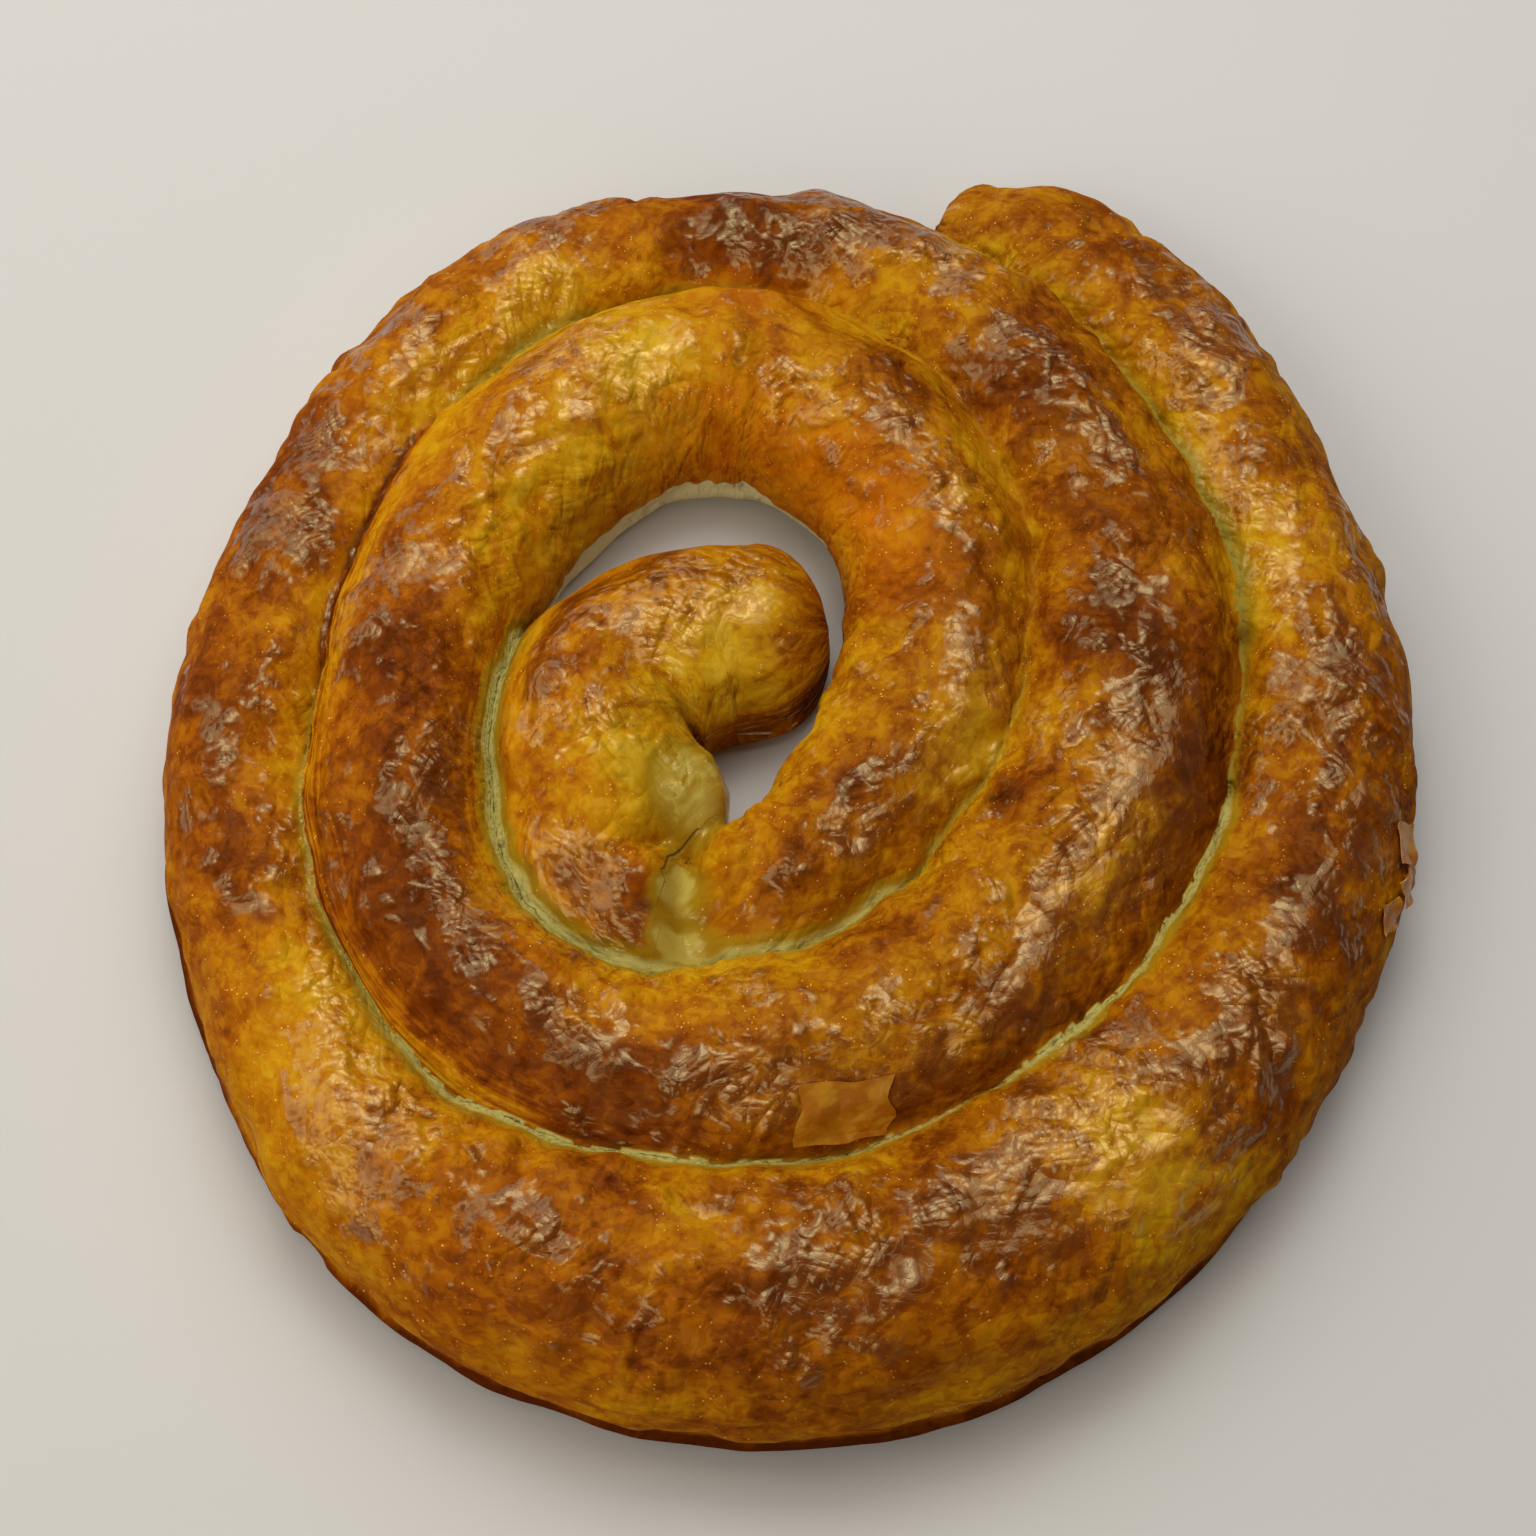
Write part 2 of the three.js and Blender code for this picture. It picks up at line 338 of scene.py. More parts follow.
@dataclass(frozen=True)
class DoughSkin:
    """Cross-section of the roll and the relief of its thin, baked skin.

    Spans are distances along the roll and flanks distances around it, in millimetres. A rise is the range
    over which something sets in, and a share is a least value and a gain on top of it.
    """

    sides: int = 74
    measuring_sides: int = 4001
    waist: float = 0.42
    flank_curve: float = 0.6
    base_share: float = 1.25
    base_curve: float = 0.9
    under: float = -0.62
    under_density: float = 0.22
    shoulder: float = 0.8
    swell: float = 1.0
    swells: Lumps = Lumps((38.0, 26.0), 3.1)
    small_swell: float = 0.4
    small_swells: Lumps = Lumps((17.0, 14.0), 5.7)
    warp: float = 5.0
    warps_along: Lumps = Lumps((13.0, 13.0), 7.3)
    warps_around: Lumps = Lumps((15.0, 15.0), 9.9)
    fold: float = 2.1
    fold_size: Pair = (5.6, 17.0)
    fold_turns: tuple[Pair, ...] = ((0.25, 21.4), (-0.75, 23.8), (1.3, 27.1))
    fold_level: float = 0.2
    fold_share: Pair = (0.4, 0.6)
    fold_patch_size: Pair = (21.0, 17.0)
    fold_patch_layer: float = 40.0
    fold_patch_rise: Pair = (-0.3, 0.3)
    calm_patches: Lumps = Lumps((24.0, 19.0), 51.2)
    calm_patch_rise: Pair = (-0.25, 0.35)
    calm_patch_share: Pair = (0.35, 0.65)
    pleat: float = 1.05
    pleats: Lumps = Lumps((4.2, 40.0), 61.0)
    pleat_flank: Pair = (4.0, 18.0)
    pleat_bend: Pair = (0.3, 0.6)
    pleat_end: float = 1200.0
    strand: float = 2.1
    strands: Lumps = Lumps((34.0, 1.0), 64.5)
    strand_width: float = 2.1
    strand_drift: float = 60.0
    strand_flank: Pair = (13.0, 18.0)
    strand_span: Pair = (925.0, 1085.0)
    strand_fade: float = 25.0
    strand_calm: float = 0.8
    tight_bend: Pair = (0.55, 0.95)
    tight_flank: Pair = (-2.0, 10.0)
    tight_calm: float = 0.8
    hook_start: Pair = (1335.0, 1350.0)
    hook_calm: float = 0.6
    dent: float = 1.5
    dents: Lumps = Lumps((13.0, 11.0), 15.5)
    relief_rise: Pair = (0.0, 0.35)
    least_step: float = 1e-6
    kink_at: float = 1281.0
    kink_widths: Pair = (8.0, 3.2)
    kink_depth: float = 0.34
    kink_deeper: float = 0.45
    kink_lean: float = 0.2
    kink_flank: Pair = (0.0, 12.0)
    lips: tuple[Lip, ...] = (
        Lip(225, 490, Flank.OUTER, 3.0, 5.5, 1.3, 0.7),
        Lip(1335, 1410, Flank.INNER),
        Lip(1005, 1150, Flank.INNER, 2.4),
    )

    def section(self, angles: np.ndarray, rings: Rings) -> tuple[np.ndarray, np.ndarray]:
        """Plain cross-section: a dome above the waist, rounded in to a flat base below it.

        Args:
            angles: Angle of each side, 0 on the outer flank and a quarter turn at the ridge.
            rings: The cross-sections.

        Returns:
            Distance across and height of each side of each ring.
        """
        c, s = np.cos(angles)[None, :], np.sin(angles)[None, :]
        half = np.where(c >= 0, rings.outer[:, None], rings.inner[:, None])
        height = rings.height[:, None]
        waist = self.waist * height
        low = np.abs(np.minimum(s, 0.0))
        across = np.where(s >= 0, half * c, half * np.sign(c) * np.abs(c) ** self.flank_curve)
        below = np.maximum(0, 1 - self.base_share * low ** self.base_curve)
        up = np.where(s >= 0, waist + (height - waist) * s, waist * below)
        return across, up

    def spread(self, rings: Rings) -> np.ndarray:
        """Angles of the sides, close together on the visible dome and wide apart beneath.

        Args:
            rings: The cross-sections, of which the middle one sets the spread.

        Returns:
            One angle a side, from the middle of the base around.
        """
        fine = np.linspace(-0.5 * math.pi, 1.5 * math.pi, self.measuring_sides)
        across, up = self.section(fine, rings)
        middle = len(across) // 2
        step = np.hypot(np.diff(across[middle]), np.diff(up[middle]))
        step *= np.where(np.sin(fine[1:]) > self.under, 1.0, self.under_density)
        length = np.concatenate([[0.0], np.cumsum(step)])
        return np.interp(np.linspace(0, length[-1], self.sides, endpoint=False), length, fine)

    def relief(self, along: np.ndarray, arc: np.ndarray, share: np.ndarray, bend: np.ndarray) -> np.ndarray:
        """Height of the lumps, folds and crinkles over the plain section.

        Args:
            along: Distance along the roll.
            arc: Distance around it from the ridge.
            share: Height as a share of the roll's height.
            bend: How tightly the roll is bent, as half its width over the bend's radius.

        Returns:
            How far each point moves out, in millimetres.
        """
        swell = self.swells.at(along, arc)
        swell += self.small_swell * self.small_swells.at(along, arc)
        warped = along + self.warp * self.warps_along.at(along, arc)
        aside = arc + self.warp * self.warps_around.at(along, arc)
        dent = self.dents.at(warped, aside)
        fold = np.zeros_like(along)
        for turn, layer in self.fold_turns:
            c, t = math.cos(turn), math.sin(turn)
            patch = Lumps(self.fold_patch_size, layer + self.fold_patch_layer)
            strength = ramp(*self.fold_patch_rise, patch.at(along, arc))
            valley = np.abs(Lumps(self.fold_size, layer).at(c * along + t * arc, c * arc - t * along))
            fold += strength * (valley - self.fold_level)
        calm_least, calm_gain = self.calm_patch_share
        patchy = calm_least + calm_gain * ramp(*self.calm_patch_rise, self.calm_patches.at(along, arc))
        pleated = ramp(*self.pleat_flank, -arc) * ramp(*self.pleat_bend, bend) * (along < self.pleat_end)
        pleat = np.abs(self.pleats.at(along, arc)) * pleated
        stringy = span(*self.strand_span, self.strand_fade, along) * ramp(*self.strand_flank, arc)
        drifted = arc / self.strand_width + along / self.strand_drift
        strand = np.abs(self.strands.at(along, drifted)) * stringy
        tight = ramp(*self.tight_bend, bend) * ramp(*self.tight_flank, -arc)
        calm = (1 - self.strand_calm * stringy) * (1 - self.tight_calm * tight)
        calm *= 1 - self.hook_calm * ramp(*self.hook_start, along)
        fold_least, painted_valley_shade = self.fold_share
        total = self.swell * swell + self.dent * dent
        total += calm * (fold_least + painted_valley_shade * patchy) * self.fold * fold
        total += self.pleat * pleat + self.strand * strand
        return total * ramp(*self.relief_rise, share)

    def kink(self, along: np.ndarray, arc: np.ndarray) -> np.ndarray:
        """The fold at the tight bend: 1 in its valley, gentle on one side and steep on the other."""
        off = along + self.kink_lean * arc - self.kink_at
        return bell(off, np.where(off < 0, *self.kink_widths))

    def wrap(self, rings: Rings) -> Skin:
        """Lay the skin around the rings.

        Args:
            rings: The cross-sections.

        Returns:
            The finished surface.
        """
        angles = self.spread(rings)
        across, up = self.section(angles, rings)
        run = np.diff(across, axis=1, prepend=across[:, -1:])
        rise = np.diff(up, axis=1, prepend=up[:, -1:])
        arc = np.cumsum(np.hypot(run, rise), axis=1)
        ridge = int(np.argmin(np.abs(angles - math.pi / 2)))
        arc = arc[:, ridge:ridge + 1] - arc
        along = np.repeat(rings.along[:, None], self.sides, 1)
        share = up / rings.height[:, None]
        bend = np.repeat(rings.bend[:, None], self.sides, 1)
        move = self.relief(along, arc, share, bend)
        run = np.roll(across, -1, 1) - np.roll(across, 1, 1)
        rise = np.roll(up, -1, 1) - np.roll(up, 1, 1)
        length = np.maximum(np.hypot(run, rise), self.least_step)
        across = across + move * rise / length
        across = (across + sum(lip.spread(along, across, up) for lip in self.lips)) * rings.shrink[:, None]
        deeper = 1 + self.kink_deeper * ramp(*self.kink_flank, -arc)
        up = up * (1 - self.kink_depth * self.kink(along, arc) * deeper)
        level = self.shoulder * self.waist * rings.height[:, None]
        up = np.maximum(level + (up - move * run / length - level) * rings.shrink[:, None], 0.0)
        x = rings.centre[:, :1] - rings.heading[:, 1:] * across
        y = rings.centre[:, 1:] + rings.heading[:, :1] * across
        return Skin(np.stack([x, y, up], axis=-1), along, arc, share)


@dataclass(frozen=True)
class Swelling:
    """A rounded swelling of the dough that grows out of the roll, in millimetres."""

    at: Point
    radii: Point
    roughness: float
    fold: float = 0.08
    lean: float = 0.8
    lump_pitch: float = 2.3
    fold_pitch: Point = (4.5, 1.2, 2.0)
    girth: float = 12.0
    share: float = 0.8
    fineness: int = 5

    def build(self) -> bpy.types.Object:
        """Make the swelling as a closed, slightly lumpy ball.

        Returns:
            The new object.
        """
        bm = bmesh.new()
        layer = bm.verts.layers.float_vector.new("roll")
        bmesh.ops.create_icosphere(bm, subdivisions=self.fineness, radius=1.0)
        c, t = math.cos(self.lean), math.sin(self.lean)
        wide, deep, tall = self.fold_pitch
        at = Vector(self.at)
        place = at - Vector((*BOX_MIDDLE, 0))
        for vert in bm.verts:
            across, ahead = c * vert.co.x + t * vert.co.y, c * vert.co.y - t * vert.co.x
            creased = noise.noise(Vector((wide * across, deep * ahead, tall * vert.co.z)) + at)
            wobble = 1 + self.roughness * noise.noise(vert.co * self.lump_pitch + at)
            wobble += self.fold * abs(creased)
            vert[layer] = (BALL_MIDDLE + self.girth * vert.co.x, self.girth * vert.co.y, self.share)
            vert.co = MM * (place + wobble * vert.co * Vector(self.radii))
        return new_object("swelling", bm)


def new_object(name: str, bm: bmesh.types.BMesh) -> bpy.types.Object:
    """Put a finished bmesh into the scene as an object and free it.

    Args:
        name: Name of the object and its mesh.
        bm: The shape.

    Returns:
        The new object, at the origin.
    """
    mesh = bpy.data.meshes.new(name)
    bm.to_mesh(mesh)
    bm.free()
    piece = bpy.data.objects.new(name, mesh)
    bpy.context.scene.collection.objects.link(piece)
    return piece


@dataclass(frozen=True)
class Patch:
    """A round patch of the crust that is browner, paler or shinier than the rest, in millimetres."""

    x: float
    y: float
    reach: float
    amount: float

    def at(self, x: np.ndarray, y: np.ndarray) -> np.ndarray:
        """How much of the patch each point has."""
        return self.amount * np.exp(-((x - self.x) ** 2 + (y - self.y) ** 2) / self.reach ** 2)


def spots(*rows: tuple[float, float, float, int]) -> tuple[Patch, ...]:
    """Make patches from rows of place, reach and amount, the amount in hundredths."""
    return tuple(Patch(x, y, reach, amount / 100) for x, y, reach, amount in rows)


@dataclass(frozen=True)
class Ground:
    """Each point's place on the roll and in the part, and its distance from a seam, in millimetres."""

    along: np.ndarray
    arc: np.ndarray
    share: np.ndarray
    x: np.ndarray
    y: np.ndarray
    seam: np.ndarray
    inner_flank: Pair = (-4.0, 14.0)

    @property
    def ball(self) -> np.ndarray:
        """Which points are on a swelling."""
        return self.along > BALL_MARK

    @property
    def inward(self) -> np.ndarray:
        """How far each point is round on the inner flank, from 0 to 1."""
        return np.where(self.ball, 1.0, ramp(*self.inner_flank, -self.arc))


@dataclass(frozen=True)
class Browning:
    """How the oven coloured the crust: toasted ridges, golden flanks and raw dough along the seams, with
    painted shade in some creases and a painted glow.

    Spans are distances along the roll, flanks distances around it and reaches distances from a seam, in
    millimetres. Tops are shares of the roll's height, and a share is a least value and a gain on top of it.
    """

    patches: tuple[Patch, ...] = spots(
        (-12, 105, 11, 34), (0, 103, 9, 22), (14, 105, 8, 14), (-49, 90, 10, -25), (41, 68, 12, 30),
        (48, 57, 10, 22), (60, 40, 12, 20), (66, 8, 12, 16), (64, 18, 16, 10), (56, -22, 15, 8),
        (104, -18, 16, 10), (76, -13, 9, 22), (69, -37, 10, 20), (38, -21, 4, 25), (98, 5, 9, 18),
        (90, -31, 10, 14), (98, -47, 9, 14), (78, -75, 12, 26), (38, -103, 10, 10), (48, -109, 9, 12),
        (18, -103, 8, 8), (-5, -120, 14, 14), (-41, -99, 12, 8), (-58, -62, 11, 24), (-40, -76, 11, 26),
        (-26, -84, 11, 22), (-66, -41, 13, 26), (-63, -20, 13, 32), (-66, 0, 12, 34), (-73, 12, 9, 20),
        (-98, -32, 14, 20), (-103, 0, 12, 22), (-87, 48, 22, 14), (-71, 75, 12, -20), (-27, -42, 8, 22),
        (-43, 2, 9, 8), (15, -13, 10, 14), (7, -31, 10, 14), (18, 73, 10, 16), (27, 61, 9, 14),
        (-6, 76, 7, 12), (-44, 66, 14, -22), (-27, 80, 12, -32), (77, 21, 9, -20), (97, 38, 14, -16),
        (-84, -77, 17, -22), (-88, -58, 11, -20), (36, 104, 13, -20), (-9, 20, 16, -26),
        (-40, -16, 14, -22), (58, -88, 18, -28), (19, -61, 13, -12), (-27, -13, 12, -26),
        (-15, -108, 10, -12), (-58, 44, 12, -20), (-62, 30, 9, -12), (-10, 80, 18, -15),
        (10, 76, 12, -10), (-80, 58, 12, -5), (6, 13, 8, 25), (9, 22, 6, 20), (-12, 58, 10, 12),
        (10, 50, 10, 15), (62, -5, 24, 6), (5, -106, 24, 6), (-5, 106, 25, 8), (54, 14, 10, 30),
        (31, -10, 10, -30), (29, -87, 9, 38), (41, -77, 9, 28), (57, -66, 11, 32), (21, 24, 11, 24),
        (85, -39, 8, 22), (-2, -98, 9, 20), (62, -31, 8, -35), (21, 60, 8, -10), (-44, -54, 9, 25),
        (10, -54, 9, 20), (20, -46, 10, 30), (73, -52, 8, 25), (86, -15, 8, 22), (33, 48, 11, -28),
        (42, -18, 7, 34), (51, -43, 9, -12), (55, 35, 10, 14), (19, -98, 8, 14), (-12, -40, 7, -15),
        (-46, -5, 8, -8), (60, -82, 12, -10), (-32, -96, 9, 20), (-2, 12, 7, 20), (-25, 73, 9, -10),
        (82, -73, 8, -10), (31, -18, 7, -12), (20, 7, 8, 8), (-89, -10, 16, -6), (44, 46, 8, 18),
        (49, -66, 8, 15), (-24, 61, 8, -10), (20, -30, 8, -10), (31, 6, 8, -10), (9, -19, 7, 15),
        (31, -30, 8, 14), (9, -42, 6, -14), (-34, -18, 7, 12), (57, 88, 9, 13),
    )
    plates: tuple[Patch, ...] = spots(
        (60, 31, 9, 15), (54, 12, 11, -40), (61, -13, 11, 20), (57, -34, 10, 40), (100, 1, 8, 15),
        (93, -17, 8, 20), (85, -39, 8, -20), (61, -89, 11, 40), (37, -94, 9, 20), (18, -105, 10, 10),
        (-9, -106, 9, 15), (2, -119, 7, 20), (-26, -117, 7, 30), (-12, -75, 9, 30), (13, -72, 8, 30),
        (-36, -73, 7, 30), (-56, -45, 8, 50), (-17, 17, 12, 40), (-35, -7, 8, 40), (-36, -35, 8, 40),
        (-29, 67, 9, 40), (-55, 52, 11, 50), (-72, 76, 11, 50), (-86, 56, 11, 50), (-95, 36, 10, 40),
        (17, 10, 10, 30), (8, -104, 16, -12), (-103, -5, 12, 28), (44, -50, 13, 40), (28, -60, 9, 30),
        (-49, 90, 9, 50), (31, -10, 10, 40), (21, 27, 12, -60), (-2, -98, 9, -20), (62, -31, 8, 40),
        (72, -75, 9, 45), (83, -64, 9, 45), (21, 60, 9, 45), (55, 42, 10, -30), (33, 48, 9, 30),
        (-12, -65, 9, -30), (69, 89, 9, -30), (51, -43, 9, 30), (19, -98, 9, -15), (-46, -5, 9, 35),
        (60, -80, 12, 35), (-64, -86, 10, 40), (-55, -42, 9, 30), (45, 66, 10, -35), (-35, 6, 8, -35),
        (53, -7, 8, -25), (20, 7, 8, -25), (67, 47, 8, 25), (-33, -65, 9, 40), (-22, -87, 8, -35),
        (82, -73, 8, 35), (19, -65, 9, 40), (90, 48, 9, 35), (-90, 8, 8, 45), (-88, -35, 10, 40),
        (31, 6, 8, 30), (9, -30, 8, 30), (52, -19, 9, 30), (45, 88, 9, -30), (-25, 74, 8, 30),
        (42, -18, 8, -35),
    )
    flank_gold: Profile = (
        (1000, 0.0), (1020, 0.24), (1180, 0.22), (1200, 0.12), (1290, 0.12), (1300, 0.22), (1360, 0.22),
        (1385, 0.0),
    )
    # Where the dough is painted with an amber glow, as if light shone through it.
    painted_glow: tuple[Patch, ...] = spots(
        (-24, 60, 9, 35), (-10, 62, 10, 50), (5, 52, 10, 50), (16, 40, 10, 50), (22, 26, 9, 30),
        (-8, 93, 9, 40), (8, 91, 8, 30),
    )
    specks: tuple[Patch, ...] = spots(
        (-25, 25, 1.6, 100), (26, 29, 1.2, 80), (77, -10, 1.2, 90), (-59, -43, 1.2, 80),
        (38, -21, 2.4, 100), (-10, 71, 1.2, 80), (-17, 21, 0.9, 70), (86, -10, 0.9, 80),
    )
    # The nick under the blister, whose crease is painted dark as shade.
    nick: tuple[Pair, ...] = ((-16.7, -24.1), (-21.9, -30.1), (-22.4, -34.1))
    blister: Patch = Patch(-18.0, -16.5, 8.8, 0.66)
    inner_pale: Profile = (
        (0, 0.2), (60, 0.35), (95, 0.7), (125, 1.3), (145, 0.5), (165, 0.45), (180, 1.2), (240, 1.1),
        (265, 0.4), (300, 0.6), (381, 1.2), (405, 1.1), (440, 0.6), (480, 0.45), (540, 0.4),
        (565, 0.45), (590, 1.1), (620, 1.0), (645, 0.3), (690, 0.12), (767, 0.15), (844, 0.2),
        (905, 0.5), (930, 1.4), (1040, 1.4), (1070, 0.7), (1110, 0.2), (1230, 0.3), (1250, 0.8),
        (1300, 0.8), (1330, 0.4),
    )
    outer_pale: Profile = (
        (560, 0.0), (600, 0.35), (700, 0.3), (740, 0.12), (870, 0.15), (900, 0.3), (925, 0.1),
        (1080, 0.0), (1110, 0.15), (1200, 0.2), (1240, 0.6), (1262, 1.0), (1290, 1.2), (1345, 1.2),
        (1360, 0.5),
    )
    cracked: Profile = (
        (0, 0.0), (168, 0.0), (182, 0.8), (300, 1.0), (390, 1.0), (415, 0.0), (915, 0.0), (930, 0.4),
        (950, 0.4), (965, 1.0), (1040, 1.0), (1060, 0.0), (1240, 0.0), (1255, 0.4), (1285, 0.4),
        (1300, 1.0), (1345, 1.0), (1360, 0.0),
    )
    # The creases beside these seams are painted darker: painted shade.
    crease_spans: tuple[tuple[float, float, Flank], ...] = (
        (1005.0, 1085.0, Flank.OUTER), (478.0, 575.0, Flank.INNER),
    )
    crease_reach: float = 6.0
    string_span: Pair = (915.0, 1060.0)
    string_reach: float = 7.0
    layered: Profile = (
        (215, 0.0), (240, 1.0), (295, 1.0), (315, 0.2), (380, 0.3), (410, 1.0), (480, 1.0), (520, 0.0),
    )
    hem_span: Pair = (1012.0, 1185.0)
    torn_span: Pair = (1325.0, 1412.0)
    foot_rise: Pair = (225.0, 260.0)
    foot_fall: Pair = (460.0, 490.0)
    rim_span: Pair = (230.0, 310.0)
    rim_fade: float = 15.0
    long_fade: float = 25.0
    short_fade: float = 12.0
    hem_top: Pair = (0.22, 0.3)
    hem_wave: float = 0.1
    hem_waves: Lumps = Lumps((5.0, 30.0), 44.9)
    rim_level: float = 0.22
    rim_width: float = 0.035
    rim_share: Pair = (0.4, 0.5)
    rim_lumps: Lumps = Lumps((9.0, 9.0), 13.7)
    torn_flank: Pair = (6.0, 12.0)
    torn_top: Pair = (0.42, 0.55)
    outer_foot: Pair = (14.0, 20.0)
    layer_foot: Pair = (0.16, 0.22)
    layer_top: Pair = (0.3, 0.5)
    golden: float = 0.52
    ridge_rise: Pair = (0.55, 0.95)
    ridge_gain: float = 0.1
    wide_blotch: float = 0.09
    wide_blotches: Lumps = Lumps((34.0, 22.0), 71.3)
    small_blotch: float = 0.08
    small_blotches: Lumps = Lumps((11.0, 9.0), 83.9)
    gold_flank: Pair = (5.0, 14.0)
    gold_reach: Pair = (8.0, 14.0)
    foot_top: Pair = (0.13, 0.18)
    flank_loss: float = 0.24
    foot_gain: float = 0.5
    torn_gain: float = 0.3
    string_loss: float = 0.04
    raw_shift: float = 2.0
    raw_curve: float = 1.5
    raw_gain: float = 1.1
    raw_share: Pair = (0.8, 0.8)
    raw_lumps: Lumps = Lumps((4.0, 6.0), 37.1)
    blister_length: float = 1.3
    blister_edge: Pair = (0.2, 1.5)
    film_share: Pair = (0.25, 0.5)
    film_rise: Pair = (-0.35, 0.4)
    film_lumps: Lumps = Lumps((30.0, 21.0), 91.7)
    film_height: Pair = (0.55, 0.88)
    ball_film: float = 0.7
    tawny: float = 0.5
    tawny_rise: Pair = (-60.0, 20.0)
    seam_limit: float = 20.0

    def nicked(self, x: np.ndarray, y: np.ndarray) -> np.ndarray:
        """Signed distance in millimetres from the nick under the blister, which keeps the painted shade in
        the nick sharp.

        Args:
            x: Place of each point.
            y: Place of each point.

        Returns:
            The distance, positive on one side of the nick and negative on the other.
        """
        best = np.full_like(x, self.seam_limit)
        for (ax, ay), (bx, by) in zip(self.nick, self.nick[1:]):
            length = math.hypot(bx - ax, by - ay)
            run = ((x - ax) * (bx - ax) + (y - ay) * (by - ay)) / length
            off = ((x - ax) * (by - ay) - (y - ay) * (bx - ax)) / length
            beyond = np.maximum(0, np.maximum(-run, run - length))
            distance = np.where(off < 0, -1, 1) * np.hypot(off, beyond)
            best = np.where(np.abs(distance) < np.abs(best), distance, best)
        return best

    def toasted(self, ground: Ground, torn: np.ndarray) -> np.ndarray:
        """How brown each point is.

        Args:
            ground: Where the points are.
            torn: How much of the torn edge each point has.

        Returns:
            The browning, from 0 for golden to 1 for dark brown.
        """
        along, arc, share = ground.along, ground.arc, ground.share
        toast = self.golden + self.ridge_gain * ramp(*self.ridge_rise, share)
        toast -= self.flank_loss * ground.inward
        wide = self.wide_blotch * self.wide_blotches.at(along, arc)
        toast += wide + self.small_blotch * self.small_blotches.at(along, arc)
        toast += sum(patch.at(ground.x, ground.y) for patch in self.patches)
        # Darker low on the outer flank along the front foot.
        foot = ramp(*self.foot_rise, along) * (1 - ramp(*self.foot_fall, along))
        toast += self.foot_gain * foot * (1 - ramp(*self.foot_top, share)) * (1 - ground.inward)
        gold = looked_up(self.flank_gold, along) * ramp(*self.gold_flank, arc)
        toast -= gold * (1 - ramp(*self.gold_reach, ground.seam))
        strings = self.string_loss * span(*self.string_span, self.long_fade, along)
        toast -= strings * ramp(*self.outer_foot, arc)
        return toast + self.torn_gain * torn

    def softened(self, ground: Ground, dough: DoughSkin) -> np.ndarray:
        """Keep the fold at the tight bend and the blister raw.

        Args:
            ground: Where the points are.
            dough: The dough's relief, which has the fold.

        Returns:
            How raw each point is, from 0 to 1.
        """
        folded = dough.kink(ground.along - self.raw_shift, ground.arc) ** self.raw_curve
        even, uneven = self.raw_share
        soft = self.raw_gain * folded * (even + uneven * self.raw_lumps.at(ground.along, ground.arc))
        spot = self.blister
        aside = (ground.x - spot.x) / spot.reach
        ahead = (ground.y - spot.y) / (self.blister_length * spot.reach)
        bulge = aside ** 2 + ahead ** 2
        return np.clip(soft + spot.amount * (1 - ramp(*self.blister_edge, bulge)), 0, 1)

    def hemmed(self, ground: Ground) -> np.ndarray:
        """Lay a pale hem along the foot of the roll.

        Args:
            ground: Where the points are.

        Returns:
            How much of the hem each point has.
        """
        along, arc, share = ground.along, ground.arc, ground.share
        hem = span(*self.hem_span, self.short_fade, along) * ground.inward
        hem *= 1 - ramp(*self.hem_top, share + self.hem_wave * self.hem_waves.at(along, arc))
        rim = bell(share - self.rim_level, self.rim_width) * (1 - ground.inward)
        even, uneven = self.rim_share
        rim *= even + uneven * self.rim_lumps.at(along, arc)
        return hem + rim * span(*self.rim_span, self.rim_fade, along)

    def filmed(self, ground: Ground) -> np.ndarray:
        """Spread the shiny film.

        Args:
            ground: Where the points are.

        Returns:
            How much film each point has.
        """
        least, gain = self.film_share
        film = least + gain * ramp(*self.film_rise, self.film_lumps.at(ground.along, ground.arc))
        film += sum(plate.at(ground.x, ground.y) for plate in self.plates)
        return np.where(ground.ball, self.ball_film, ramp(*self.film_height, ground.share) * film)

    def creased(self, ground: Ground) -> np.ndarray:
        """Mark the creases beside some seams, which the finish paints darker as painted shade.

        Args:
            ground: Where the points are.

        Returns:
            How much of a crease each point has.
        """
        crease = np.zeros_like(ground.along)
        for first, last, flank in self.crease_spans:
            near = (ground.seam < self.crease_reach) & (flank.value * ground.arc > 0)
            crease += span(first, last, self.long_fade, ground.along) * near
        return crease

